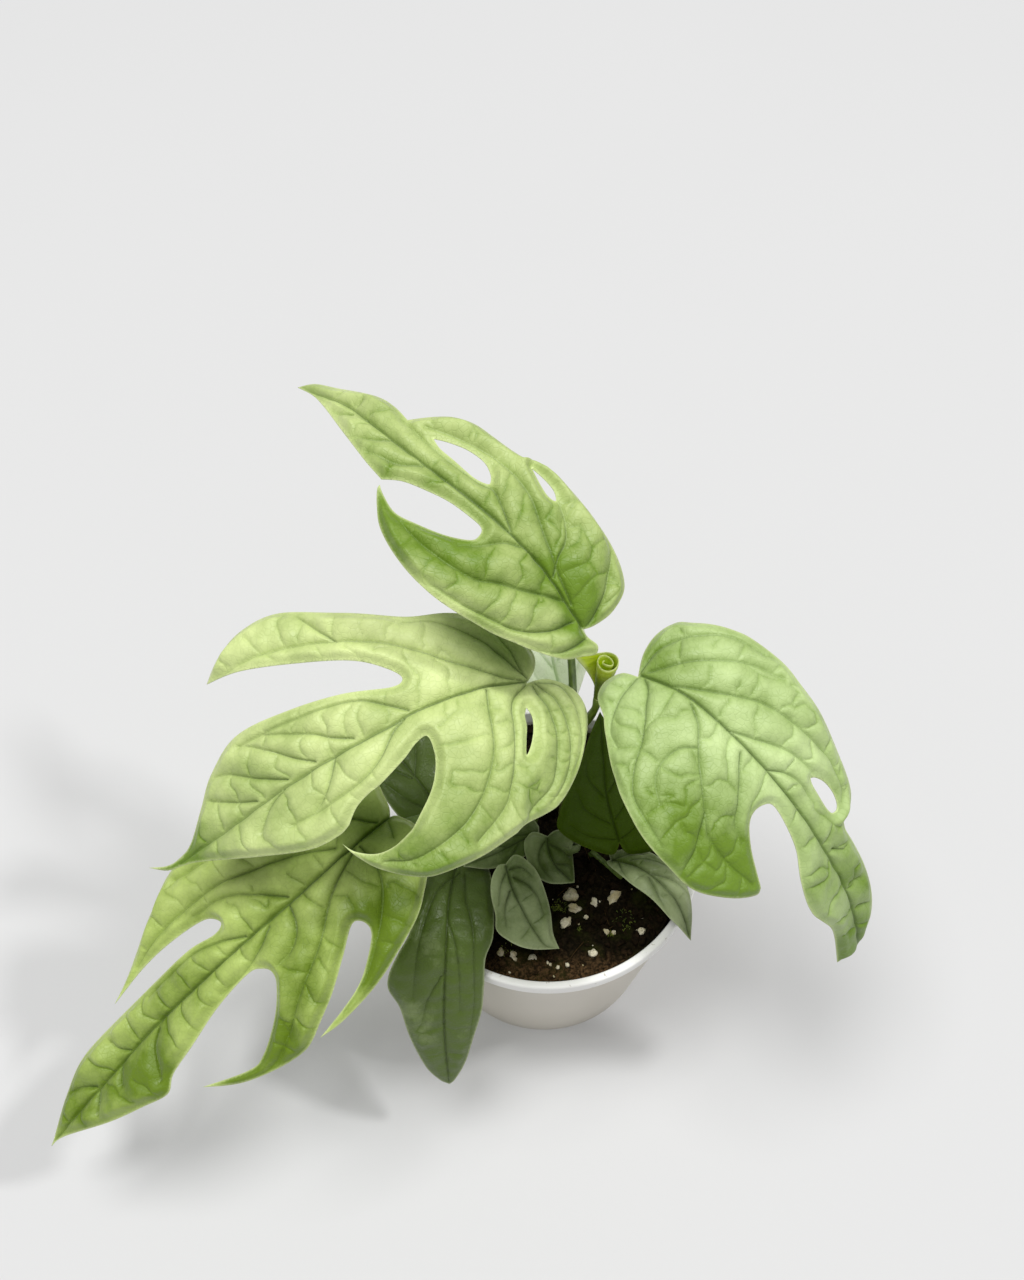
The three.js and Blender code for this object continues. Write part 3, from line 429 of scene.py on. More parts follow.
leaves["left"] = dict(
    finish="silver", silver=0.88, shade=0.2, bulge=(1.1, 0.8), fold=8, curl=(70, 110), wave=(0.6, 38),
    rib=[(-7, 5, 176), (-23, -1, 181), (-47, -11, 179), (-76, -22, 163), (-108, -33, 136)],
    face=[(-0.1, -0.3, 0.95), (-0.25, -0.3, 0.9)],
    deepGreenAndShade=[(3, -7, 6, 0.7), (9, -12, 6, 0.5), (17, -15, 6, 0.2), (2, 2, 5, -0.4), (122, 0, 12, 0.9),
          (60, 39, 13, 0.75), (46, 43, 10, 0.35), (104, 1, 12, 0.3), (82, 12, 10, 0.2), (35, 27, 9, 0.4),
          (28, 38, 8, 0.4), (8, 32, 9, 0.35), (-3, 27, 9, 0.4), (-7, 12, 6, 0.2), (39, 34, 8, 0.3),
          (75, -44, 10, -0.4), (36, -26, 12, -0.4), (22, -15, 9, -0.4), (83, -25, 10, -0.3),
          (78, -9, 9, 0.25), (49, 7, 8, -0.3), (13, 2, 8, -0.2)],
    midrib=[(0, 0), (15, 0), (35, 0.3), (42, 1.2), (60, 1), (78, 0.8), (100, 1), (122, 0.2)],
    stalk={"radius": (1.7, 1.2), "node": (107, 212), "path": [(-1, 8, 135), (-4.5, 6, 160)]},
    runs=[
        [(-3, -3.5), (-3.5, -8), (0.5, -14), (9, -19.5), (17, -24), (28, -27), (42, -35.5), (58.7, -46.5),
         (70.8, -48), (81.4, -44.8), (88.3, -40.4)],
        [(75.5, -36.5), (58, -28.5), (44.5, -21), (37, -14.5), (34, -10), (38, -9), (51.3, -14), (66, -17.7),
         (85.4, -20.4), (97.9, -15.9), (106.2, -9.3), (115.5, -2.8), (122, -1.3), (127, -1.8), (133, -4.6)],
        [(127.4, -0.5), (121.5, 1.2), (115, 3.5), (95, 13), (79.5, 19.5), (70, 20.5), (65.5, 19.5)],
        [(61, 16.5), (56, 15), (52, 14.5), (47, 13), (42, 11), (37.5, 8.5), (34, 8), (34, 13), (36, 18),
         (40, 23), (47.5, 28.5), (51, 30), (57, 31), (63, 30), (68, 26.5), (70, 23)],
        [(68.5, 27.5), (64.5, 34), (57, 40.5), (49, 44), (33.5, 44.4), (17, 41.6), (1.5, 37.5), (-8, 28.5),
         (-14, 16.5), (-15, 9.5), (-12.5, 4), (-7, 0.5), (-3, 0), (0.5, 0.5)],
    ],
    holes=[
        [(2.8, 7.6), (1.9, 10.5), (2.5, 14.5), (4.2, 18.7), (6, 21), (5.2, 17), (4.1, 13), (3.9, 9.8)],
    ],
    veins=[
        [(-2, 1), (-7, 8), (-8, 18), (-5, 28), (1, 35)], [(-1, 2), (-4, 12), (-3, 22), (1, 31), (8, 37)],
        [(1, 1), (7, 6), (9, 16), (13, 26), (20, 34), (32, 40)],
        [(13.5, 1), (15, 8), (17, 17), (22, 25), (30, 32), (40, 36), (52, 37), (62, 33)],
        [(38, 1), (42, 3), (48, 8), (56, 11), (70, 12), (80, 11.5)], [(60, 1), (66, 8), (73, 12)],
        [(78, 1), (84, 3), (90, 8)],
        [(2, -0.5), (10, -3), (18, -8), (28, -16), (36, -22), (46, -28), (56, -33), (70, -37.5), (84, -39)],
        [(0, -1), (5, -6), (12, -14), (20, -22), (28, -25)], [(1, -2), (4, -9), (8, -16)],
        [(-3, 0.8), (-9, 3), (-12, 10), (-11.5, 20), (-7, 28)],
        [(36, -1), (41, -5), (47, -9.5), (56, -12.5), (70, -15), (85, -17)],
        [(53, -1), (58, -4), (63, -8), (70, -12), (77, -16)], [(66, -1), (71, -5), (77, -11), (83, -16)],
        [(76, -1), (84, -6), (92, -12), (97, -14)], [(88, -1), (94, -4), (102, -9)],
        [(46, -28), (50, -35), (54, -42)],
    ],
    ties=[
        [(-4, 34), (1, 33), (4, 32)], [(4, 38), (8, 33.5), (8.5, 30)], [(4, 28), (9, 30), (14, 28)],
        [(7, 24), (12, 23), (18, 24)], [(9, 17), (14, 18), (17, 18)], [(7, 12), (11, 11), (15, 12)],
        [(14, 30.5), (19, 29.5), (23, 27)], [(18, 22), (23, 23), (30, 20)],
        [(17, 14), (22, 13), (26, 13.5), (32, 12)], [(25, 28), (28, 26), (34, 22)],
        [(10, 41), (15, 38), (17, 33)], [(23, 42), (25, 36), (27, 31)], [(36, 39), (36, 35)],
        [(44, 41), (46, 37)], [(54, 38), (56, 33)], [(-7, 25), (-3, 24), (0, 23)], [(-11, 18), (-8, 17)],
        [(-8, 16), (-4, 17), (-1, 16)], [(-11, 10), (-7, 10), (-2, 10)], [(-10, 24), (-6, 22)],
        [(12, 7), (16, 6)], [(22, 1), (24, 5), (30, 7)], [(51, 14), (52, 10)], [(58, 16), (61, 12)],
        [(57, 10), (60, 5), (61, 1)], [(67, 20), (68, 15), (67, 12)], [(67, 12), (69, 6), (68, 1)],
        [(78, 17), (79, 12), (78, 5)], [(88, 14), (90, 8)], [(96, 12), (97, 1)], [(106, 8), (106, 1)],
        [(26, 1), (28, 4)], [(42, 0), (41, -5), (38, -9)], [(50, 0), (49, -6), (46, -9)],
        [(47, -10), (51, -9), (54, -3)], [(56, -13), (58, -9)], [(60, 0), (59, -5), (57, -12)],
        [(68, -3), (67, -8), (64, -10)], [(64, -16), (68, -12)], [(75, -1), (77, -6), (74, -9)],
        [(75, -17), (78, -12)], [(85, -1), (87, -6), (84, -12), (80, -15)], [(94, -1), (92, -10)],
        [(102, -1), (100, -7)], [(110, -1), (108, -5)], [(10, -1), (13, -5)],
        [(24, -1), (22, -6), (24, -12)], [(18, -9), (22, -13)], [(33, -1), (30, -8), (32, -16)],
        [(26, -16), (24, -21)], [(34, -20), (38, -20)], [(30, -27), (34, -22)], [(42, -19), (44, -25)],
        [(50, -24), (52, -30)], [(36, -31), (39, -26)], [(44, -34), (47, -29)],
        [(60, -33), (60, -40), (57, -46)], [(67, -36), (70, -44)], [(52, -40), (56, -34)],
        [(63, -30), (66, -36)], [(78, -38), (79, -43)],
    ],
)
leaves["lower_left"] = dict(
    finish="fresh", silver=0.8, shade=0.36, bulge=(1.3, 1), fold=8, curl=(80, 80), wave=(0.7, 42), holes=[],
    rib=[(-48, -12, 124), (-68, -30, 124), (-96, -50, 106), (-127, -70, 79), (-157, -91, 51)],
    face=[(-0.2, -0.35, 0.9), (-0.3, -0.2, 0.9)],
    deepGreenAndShade=[(8, -2, 7, 0.5), (19, 16, 9, 0.6), (13, 25, 7, 0.3), (28, 26, 8, 0.8), (35, 34, 9, 0.8),
          (22, 3, 8, -0.45), (38, -12, 6, -0.35), (30, -1, 6, 0.3), (60, -21, 10, -0.35), (66, -12, 7, 0.3),
          (50, -2, 9, 0.3), (46, 15, 9, 0.4), (54, 22, 9, 0.4), (72, 28, 10, 0.9), (86, 27, 9, 0.7),
          (66, 35, 8, 0.4), (110, 13, 11, 0.75), (103, 5, 8, 0.45), (95, -3, 9, 0.35), (78, -4, 9, 0.35),
          (124, 7, 12, 0.35), (144, -2, 18, 0.6), (66, 21, 7, 0.25)],
    midrib=[(0, 0), (30, 1), (45, 0.8), (60, 0), (80, -0.5), (105, -0.8), (120, 0), (157, 0.7)],
    stalk={"radius": (1.7, 1.2), "node": (87, 200),
           "path": [(-4, 7.5, 98), (-24, -3, 112), (-40, -10, 118)]},
    runs=[
        [(-1.2, -2.5), (-2.3, -6.5), (-3, -10), (0, -14), (7, -16.5), (26, -22), (46.5, -30), (66, -35.5),
         (81, -28.7), (92.4, -23.1), (103, -18.5), (109.5, -16.1)],
        [(98.5, -17.2), (87.5, -17.1), (75, -16), (67, -14.5), (63.5, -12.5), (62, -9.5), (66, -8.5),
         (75.5, -10.5), (90.5, -11), (112.5, -11.5), (130.5, -11), (142.5, -7), (151.5, -2.5), (158, 1)],
        [(152, 2), (133.5, 10.5), (120, 15), (110.5, 17.5), (104.5, 14.5), (93.5, 12.5), (78.5, 9),
         (64.5, 8), (59.5, 10), (57.5, 13), (59, 17), (65.5, 23), (76.5, 29), (83, 29.5), (98, 24)],
        [(87, 31), (75, 35), (65.5, 36.5), (60, 35.5)],
        [(48.5, 30.5), (38.5, 24), (30.5, 18.5), (27.5, 19.5), (27, 23), (30, 26.5), (39, 32.5),
         (48.5, 35.5), (59, 37)],
        [(51, 38), (40, 37), (29, 34.5), (16, 30), (8, 24.5), (1, 18.5), (-2.8, 12.5), (-3.6, 7),
         (-2.4, 3.2), (-1, 0.8), (0.5, 0)],
    ],
    veins=[
        [(16, 1.5), (19, 3), (27, 6.5), (33, 10.5), (40, 16), (48, 20.5), (56, 24.5), (64, 29), (74, 33),
        (83, 33)], [(14, 2), (14.5, 10), (17, 16), (22, 22), (28, 27), (38, 33), (48, 36)],
        [(41, 1), (43, 8), (48, 12), (54, 13)], [(50, 2), (56, 5), (65, 7), (75, 7)],
        [(100, 1), (104, 4), (107, 10), (109, 13)], [(119, 1), (122, 5)], [(131, 1), (133, 4), (135, 6)],
        [(5, -1), (12, -8), (24, -16), (38, -22), (55, -28), (68, -31)],
        [(20, -2.5), (27, -7), (35, -11), (45, -15), (55, -19), (65, -20.5), (80, -21), (95, -19)],
        [(40, -1), (47, -8), (53, -13), (60, -16), (68, -17)],
        [(58, -1), (65, -5), (75, -8.5), (85, -9), (97, -9)], [(113, -1), (116, -4), (117, -7)],
        [(131, -1), (135, -4), (140, -6)],
    ],
    ties=[
        [(11, 26), (14, 18)], [(18, 30), (21, 24)], [(44, 25), (43, 20), (45, 18)], [(37, 22), (38, 16)],
        [(27, 17), (26, 12), (29, 8)], [(16, 18), (20, 12), (22, 5)], [(6, 16), (14, 13)],
        [(33, 10), (34, 6), (36, 1)], [(49, 32), (52, 28), (51, 23)], [(58, 35), (60, 28)],
        [(50, 19), (54, 14)], [(61, 7), (62, 0)], [(73, 8), (72, 0)], [(80, 8), (81, 4), (80, 0)],
        [(88, 11), (89, 5), (88, 0)], [(96, 12), (96, 0)], [(113, 16), (116, 8)],
        [(121, 13), (124, 7), (127, 0)], [(142, 6), (140, 0)], [(2, 1), (5, 7)],
        [(47, -3), (48, -8), (46, -11)], [(34, -1), (35, -6)], [(55, -2), (54, -9), (56, -13)],
        [(66, -1), (68, -6)], [(74, -1), (76, -7)], [(83, 0), (82, -5), (83, -9)], [(92, 0), (93, -8)],
        [(98, -1), (101, -6), (99, -10)], [(108, -1), (107, -10)], [(123, -1), (126, -9)],
        [(147, 0), (146, -4)], [(62, -17), (61, -23), (63, -29)], [(70, -20), (69, -25), (72, -30)],
        [(79, -21), (80, -27)], [(51, -17), (52, -25)], [(42, -14), (43, -22)], [(31, -9), (33, -19)],
        [(18, -4), (21, -13)], [(90, -17), (89, -21)], [(68, 34), (70, 29)], [(24, 31), (28, 27)],
        [(66, 31), (64, 25)], [(27, 1), (26, -6)],
    ],
)
leaves["right"] = dict(
    finish="cool", silver=0.68, shade=0.26, bulge=(0.65, 1.05), fold=7, curl=(70, 100), wave=(0.6, 36),
    rib=[(24, 6, 178), (38, -5, 182), (58, -20, 171), (75, -31, 150), (88, -39, 122), (88, -48, 98)],
    face=[(0.05, -0.3, 0.95), (0.5, -0.35, 0.5)],
    deepGreenAndShade=[(3, 8, 6, 0.4), (62, -28, 14, 0.95), (46, -32, 14, 0.5), (30, -25, 10, 0.35), (130, 3, 9, 0.9),
          (122, 1, 8, 0.3), (105, 5, 10, 0.4), (94, 4, 9, 0.35), (28, 9, 9, -0.1), (33, 20, 9, -0.1),
          (20, 21, 8, -0.2), (48, -11, 8, 0.2), (38, -3, 9, -0.4), (46, 5, 9, -0.4), (55, 13, 8, -0.3),
          (54, -2, 8, -0.25)],
    midrib=[(0, 0.3), (20, 0.8), (47, 0.5), (70, 0), (95, -0.5), (105, 0), (115, 2), (125, 6), (133, 9)],
    stalk={"radius": (1.7, 1.2), "node": (109, 358),
           "path": [(15, 13, 122), (18, 12, 140), (21.5, 8.5, 163)]},
    runs=[
        [(-2, 6.5), (-2, 13.5), (1, 19), (7, 21), (15, 24.5), (21, 26.5), (31.5, 27.5), (40, 26),
         (50.5, 24.5), (62, 22.1), (71.5, 19.2), (76.5, 16.4), (79.2, 13.2), (80.2, 10)],
        [(83, 9.3), (88.5, 9.5), (100, 10), (111, 10), (122.5, 10.5), (133, 10), (134, 0)],
        [(127, -2.5), (101, -12.7), (91, -14.5), (80.3, -12.3), (71.6, -8), (61.5, -5.5), (55.5, -5),
         (53, -7), (52, -10.5), (53.5, -14), (58.5, -18), (64, -21), (69.5, -23.5)],
        [(70, -26), (64.5, -32), (55.5, -37.5), (46, -38.5), (34, -38), (22.5, -34), (10, -28), (2.5, -20),
         (-1, -15.5), (-5.5, -12), (-7, -8.5), (-6.5, -5), (-4, -1.5), (0.5, -0.5)],
    ],
    holes=[
        [(59.7, 9.1), (61.1, 10.5), (64.7, 12), (69.3, 12.3), (73, 11.4), (74.5, 10), (73.8, 8.3), (71, 7.7),
         (66.4, 7.9), (61.6, 8.4)],
    ],
    veins=[
        [(0.5, 1), (1.5, 8), (6, 14), (12, 19), (18, 23), (26, 25)],
        [(3, 2), (8, 6), (15, 12), (22, 18), (28, 21), (34, 23)],
        [(12, 1), (18, 4), (26, 9), (33, 13), (40, 15), (50, 16.5), (62, 17.5), (72, 15)],
        [(31, 0.5), (38, 4), (46, 8), (53, 10), (59, 10.5)], [(47, 0.5), (52, 4), (58, 5.5), (66, 5)],
        [(83, 2), (87, 5)], [(100, 2), (102, 6)], [(111, 3), (113, 8)],
        [(0.5, -1), (0.5, -10), (3, -18), (8, -22)],
        [(3, -0.5), (6, -3), (10, -10), (14, -17), (17, -24), (22, -30), (28, -33), (38, -36)],
        [(19, -0.5), (24, -4), (29, -10), (35, -16), (41, -21), (47, -25), (57, -26), (66, -25)],
        [(38, -2), (42, -7), (46, -12), (50, -17), (55, -19)], [(41, -21), (43, -25), (46, -30), (48, -36)],
        [(28, -9), (24, -13), (23, -19), (25, -24), (30, -28)],
    ],
    ties=[
        [(79.8, 9.6), (77.5, 7.2), (74, 5.5), (69.8, 4.3), (66.5, 4.5)], [(25.5, 14), (25, 11), (27, 9)],
        [(24, 18), (29, 19), (33, 22)], [(40, 22), (39, 15)],
        [(41, 19), (43, 22), (47, 22), (49.5, 20), (47, 17), (44.5, 16)], [(37, 27), (39, 25), (37, 23)],
        [(30, 27), (31, 23)], [(43, 15), (46, 12), (46, 8)], [(52, 16), (55, 13), (54, 10)],
        [(51, 8), (52, 4)], [(57, 6), (56, 1)], [(65, 21), (67, 17)], [(57, 22), (58, 17)],
        [(20, 24), (21, 18)], [(16, 12), (19, 8), (18, 4)], [(8, 12), (12, 7)], [(26, 8), (27, 1)],
        [(33, 12), (35, 8), (38, 4)], [(5, 17), (9, 16)], [(13, 21), (15, 17)], [(28, 19), (30, 13)],
        [(72, 18), (74, 12)], [(87, 9), (83, 1)], [(97, 9), (96, 5), (101, 4), (101, 0)], [(76, 6), (79, 0)],
        [(85, -1), (87, -7), (84, -12)], [(79, -11), (83, -5)], [(97, -1), (95, -6), (98, -11)],
        [(110, 0), (107, -8)], [(120, 9), (119, 4)], [(120, 3), (118, -3)], [(72, -6), (74, 0)],
        [(62, 0), (64, -5)], [(-4, -6), (1, -6)], [(-3, -11), (2, -11), (6, -10), (12, -12)],
        [(1, -15), (6, -16), (10, -15), (15, -18)], [(5, -22), (10, -21), (15, -19)],
        [(18, -19), (23, -19.5)], [(9, -27), (14, -25), (19, -27)], [(13, -1), (14, -8), (13, -15)],
        [(19, -3), (18, -7), (14, -9)], [(24, -27), (28, -27), (31, -24), (30, -31)], [(26, -10), (31, -13)],
        [(24, -20), (29, -19), (33, -14)], [(34, -15), (32, -20), (35, -24), (31, -27)],
        [(37, -18), (38, -24), (36, -30), (37, -37)], [(40, -29), (44, -28), (50, -31), (55, -30)],
        [(49, -26), (51, -31), (50, -37)], [(46, -17), (44, -21), (47, -25)],
        [(57, -26), (59, -31), (57, -36)], [(62, -25), (65, -30)], [(53, -19), (55, -25)],
        [(33, -1), (35, -6), (40, -10), (45, -10)], [(28, -1), (29, -5)], [(48, -1), (48, -6), (51, -11)],
        [(41, -1), (42, -5)], [(7, -3), (8, -7)], [(16, -20), (15, -25)], [(38, -12), (36, -16)],
    ],
)
leaves["rim"] = dict(
    finish="dark", silver=0.14, shade=0.25, bulge=(0.5, 0.3), fold=8, curl=(60, 60), wave=(0, 30), holes=[],
    rib=[(-29, -15, 91), (-31, -28, 95), (-32, -43, 91), (-33, -56, 70), (-33, -68, 40)],
    face=[(0.1, 0, 1), (0.1, -0.9, 0.3)],
    deepGreenAndShade=[(10, 0, 14, 0.4), (82, 0, 14, 0.35)],
    midrib=[(-2, -0.5), (30, 0), (60, 0), (87, 0.8)],
    stalk={"radius": (1, 0.8), "foot": (-16, -2), "path": [(-21, -9, 84)]},
    runs=[
        [(-3.5, -4.5), (-0.5, -7.5), (6.5, -9), (15.5, -10), (24, -11.5), (30.5, -15), (37, -17.5),
         (42.5, -17.5), (49.5, -14), (62.5, -11), (77.5, -6.5), (85.5, -2), (88, 1)],
        [(85.5, 3), (77, 6.5), (64.5, 9.5), (53, 12), (42, 12.5), (31.5, 12.5), (24, 14.5), (12, 14),
         (0, 11), (-5, 7.5), (-5.5, 2.5), (-2, -0.5)],
    ],
    veins=[
        [(2, 3), (12, 5), (22, 8), (35, 9), (50, 9.5), (65, 8)],
        [(2, 1), (10, -4), (20, -7), (30, -9), (45, -10)], [(20, 0), (28, 3), (38, 4.5), (52, 5)],
        [(38, -1), (46, -5), (55, -7)],
    ],
    ties=[
        [(18, -1), (20, -6)], [(30, 1), (31, -8)], [(45, 8), (44, 0)], [(60, 8), (59, -9)],
        [(72, 5), (71, -6)], [(15, 5), (17, 0)],
    ],
)
leaves["front"] = dict(
    finish="dark", silver=0.8, shade=0.36, bulge=(0.8, 0.8), fold=8, curl=(40, 40), wave=(0, 30), holes=[],
    rib=[(-13, -17, 100), (-10, -23, 98), (-4, -32, 91), (3, -38, 83)],
    face=[(0, 0, 1), (0, 0, 1)],
    deepGreenAndShade=[(4, 0, 6, 0.4), (20, 6, 6, 0.5), (14, -11, 6, 0.6), (26, -6, 6, 0.5)],
    midrib=[(0, -0.5), (8, -2), (20, -2.5), (28, -3), (33, 0)],
    stalk={"radius": (1, 0.8), "foot": (-10, -22), "path": [(-12.5, -20.5, 89)]},
    runs=[
        [(-1.5, 3), (0.5, 5.5), (6, 7.5), (14, 7), (22, 5), (28, 1.5), (33, 0)],
        [(29.5, -3.5), (24.5, -8), (20, -11), (16, -12.5), (12, -10.5), (6.5, -9), (2, -6), (-0.5, -3),
         (0, -0.5)],
    ],
    veins=[
        [(2, -0.5), (3, 3.5), (7, 5.5)], [(5, 0), (9, 3), (14, 4), (20, 3)], [(3, -2), (6, -5.5), (10, -8)],
        [(8, -3), (12, -7), (16, -9)],
    ],
    ties=[
        [(13, -3), (14, -10)], [(12, 3), (13, -2)], [(20, 3), (21, -8)],
    ],
)
leaves["centre"] = dict(
    finish="dark", silver=0.62, shade=0.36, bulge=(0.8, 0.7), fold=6, curl=(30, 30), wave=(0, 30), holes=[],
    ties=[],
    rib=[(0, -4.4, 93), (0.3, -8.6, 92.3), (2.8, -13, 88), (9.6, -16.1, 81)],
    face=[(0, -0.2, 1), (0.1, 0, 1)],
    deepGreenAndShade=[(2, 0, 5, 0.3), (12, 8, 6, 0.6), (10, -6, 5, 0.6), (19, 1, 5, 0.5)],
    midrib=[(0, 0), (12, 0), (22, 0)],
    stalk={"radius": (0.9, 0.7), "foot": (7, -1), "path": [(5, -6, 85)]},
    runs=[
        [(-1.8, 3), (-1, 8), (3, 11), (8, 11.3), (13, 9), (17, 4.5), (20, 0)],
        [(15, -3.5), (10.5, -6.5), (5.5, -7.6), (1, -7.2), (-1.7, -4.5), (0, 0)],
    ],
    veins=[
        [(2, 0), (6, 4), (12, 6)], [(2, -1), (6, -4), (12, -4)], [(9, 0), (13, 3), (17, 4)],
    ],
)
leaves["inner_left"] = dict(
    finish="dark", silver=0.45, shade=0.2, bulge=(0.4, 0.3), fold=6, curl=(40, 40), wave=(0, 30), holes=[],
    ties=[],
    rib=[(-5, -6, 91), (-14, -12, 93), (-25, -15, 96)],
    face=[(0, -0.3, 1), (0, -0.3, 1)],
    deepGreenAndShade=[(2, -3, 8, 0.5)],
    midrib=[(-3, -2), (10, -2.5), (25, 1)],
    stalk={"radius": (0.9, 0.7), "foot": (-6, 3), "path": [(-6, -3, 84)]},
    runs=[
        [(-5, -4.5), (-3.5, -8), (3.5, -10.5), (10, -10), (17.5, -8), (22.5, -3.5), (25, 1)],
        [(18, 2.5), (12, 2.5), (5, 2.5), (-2, 2), (-5, 0.5), (-4, -2)],
    ],
    veins=[
        [(0, -3), (6, -6), (12, -7)], [(9, -3), (14, -5), (19, -5)], [(4, -2), (10, 1), (15, 1.5)],
    ],
)
# a dark olive leaf, coloured darker and duller than the other small leaves as painted shade, for where it
# sits deep under the large leaves
leaves["inner_right"] = dict(
    finish="shadedOlive", silver=0.12, shade=0.2, bulge=(0.4, 0.3), fold=6, curl=(50, 50), wave=(0, 30), holes=[],
    ties=[],
    rib=[(22, -8, 101), (18, -2, 117), (16, 4, 134), (14, 11, 152)],
    face=[(0, -0.7, 0.7), (0, -0.8, 0.6)],
    deepGreenAndShade=[(15, 0, 20, 0.5)],
    midrib=[(-3, 0), (20, 0), (52.5, -0.5)],
    stalk={"radius": (1, 0.8), "foot": (22, 5), "path": [(23, 2, 88)]},
    runs=[
        [(-7, 3), (-2.5, 9.5), (3.5, 15), (9, 17.5), (14.5, 15.5), (23.5, 11), (34.5, 6.5), (44.5, 3),
         (52.5, -0.5)],
        [(44.5, -3.5), (30.5, -9), (14, -14), (-1.5, -15), (-9, -12.5), (-9.5, -6.5), (-8, -1.5), (-3, 0)],
    ],
    veins=[
        [(-1, 1), (3, 8), (9, 13)], [(6, 1), (14, 7), (22, 9)], [(18, 1), (27, 5), (35, 5)],
        [(-1, -1), (4, -8), (11, -12)], [(8, -1), (16, -7), (26, -9)], [(20, -1), (29, -5), (38, -5)],
    ],
)
leaves["right_rim"] = dict(
    finish="dark", silver=0.96, shade=0.36, bulge=(0.8, 0.8), fold=9, curl=(40, 40), wave=(0, 30), holes=[],
    rib=[(20, -10, 85), (28, -17, 92), (38, -27, 92), (45, -35, 82)],
    face=[(0, 0, 1), (0.1, 0, 1)],
    deepGreenAndShade=[(4, 1, 8, 0.6), (24, -3, 6, 0.5), (38, 2, 7, 0.5), (14, 7, 6, 0.3)],
    midrib=[(0, 1), (17, 2.5), (30, 2), (42.5, 0)],
    stalk={"radius": (1, 0.8), "foot": (15, -3), "path": [(18, -7, 80)]},
    runs=[
        [(-2, 3.5), (4.5, 7.5), (13, 9), (21, 9.4), (28, 7.8), (35.8, 4.2), (42.5, 0)],
        [(36, -1.5), (29.5, -3.2), (22, -3.5), (14, -4), (6, -2.5), (-0.5, -0.5), (0, 1)],
    ],
    veins=[
        [(2, 2), (7, 5.5), (14, 8)], [(8, 3), (14, 7), (22, 9)], [(17, 3), (23, 6), (30, 7)],
        [(4, 1), (9, -2), (15, -4)], [(17, 1.5), (23, -1), (30, -3)],
    ],
    ties=[
        [(12, 2), (11, 8)], [(20, 2), (19, 8)], [(28, 2), (27, 9)], [(16, 2), (15, -4)], [(25, 2), (24, -3)],
    ],
)
# a pale leaf, coloured lighter still than its own colour as painted light, since it stands in shade among
# the leaves
leaves["back"] = dict(
    finish="paleAndLit", silver=1, shade=0.2, bulge=(0.3, 0.2), fold=6, curl=(50, 50), wave=(0, 30), holes=[],
    ties=[],
    rib=[(4, 21, 138), (1, 31, 147), (-2, 46, 149), (-4, 64, 141)],
    face=[(0.1, 0.1, 1), (0, 0.2, 1)],
    deepGreenAndShade=[(5, 0, 8, 0.4)],
    midrib=[(0, 0.5), (20, 0), (47, -4)],
    stalk={"radius": (1.4, 1), "node": (97, 135), "path": [(1.5, 18.5, 112), (2.5, 20, 126)]},
    runs=[
        [(-1.5, 6), (4.5, 10), (13, 10.5), (22, 9), (32, 4.5), (47.5, -4)],
        [(33.5, -9), (20.5, -11.5), (9.5, -11), (1, -6), (-2, -2.5), (0, 0.5)],
    ],
    veins=[
        [(1, 1), (7, 6), (14, 8)], [(10, 1), (18, 5), (26, 5)], [(1, 0), (7, -6), (14, -9)],
        [(12, -1), (20, -6), (29, -8)], [(24, -1), (31, -5), (38, -6)],
    ],
)
leaves["hollow"] = dict(
    finish="dark", silver=0.25, shade=0.2, bulge=(0.5, 0.4), fold=6, curl=(50, 50), wave=(0, 30), holes=[],
    ties=[],
    rib=[(-28, -4, 90), (-40, 7, 102), (-58, 31, 104)],
    face=[(0, -0.1, 1), (-0.2, 0, 1)],
    deepGreenAndShade=[(20, -3, 30, 0.5)],
    midrib=[(0, 0), (25, -1), (51, 0)],
    stalk={"radius": (1, 0.8), "foot": (-4, 9), "path": [(-14, 4, 84)]},
    runs=[
        [(2, 5.5), (10.5, 9.5), (19.5, 11), (29, 10.5), (41.5, 8.5), (51, 0)],
        [(44, -8.5), (32.5, -15), (19, -16), (6, -12.5), (-0.5, -5.5), (0, 0)],
    ],
    veins=[
        [(2, 1), (9, 6), (17, 9)], [(12, 0), (20, 5), (29, 8)], [(26, 0), (33, 4), (41, 6)],
        [(2, -1), (8, -8), (16, -13)], [(12, -1), (20, -7), (30, -12)], [(26, -1), (34, -7), (42, -9)],
    ],
)

blade = {
    "thickness": 0.5,
    "edgeThickness": 0.22,
    "edgeStep": 0.45,
    "innerStep": 0.56,
    "veinRows": (0.0, 0.32, -0.32, 0.75, -0.75),
    "veinStep": 0.5,
    "veinDepth": 0.5,
    "veinWidth": 0.29,
    "arch": 1.8,              # how far the blade rises between its main veins
    "tieWander": 0.4,
    "tieWidth": 0.27,
    "tieRows": (0.0, 0.34, -0.34),
    "tieReach": 4.5,
    "cellReach": 3.4,
    "cellRise": 0.66,
    "cellGroove": 0.14,
    "midribBelow": 0.9,
    "surfaceLift": 0.12,
    "lineStep": 0.5,
    "search": 12,             # how far the nearest vein or border is looked for
    "wideSearch": 30,         # and how far the two nearest veins are
    "midribStrength": (1.25, 0.7),      # from its start to its end
    "veinStrength": (0.9, 0.2),
    "borderFade": (0.2, 3.0),
    "veinFade": (0, 0.8),
    "belowFade": (0, 1.2),
    "lineFade": (0.3, 1.6),
    "slope": 0.3,             # the rise between veins against half the room between them
    "uneven": (0.2, 7),       # height and length of the seeded swells
    "midribWidth": 1.0,
    "midribTaper": (1, 0.3),
    "veinBelow": 0.35,
    "edgeBlend": 1.6,
    "rimWidth": 0.3,
    "deepAndShadeLimits": (-0.5, 1),
    "deepAndShadeAway": (0.85, 0.3, 4),        # at a vein, how much more away from it, and how far away
    "hollowReach": (0.7, 1.4),
    "wavePhaseRight": 1.7,
    "waveReach": 20,
}


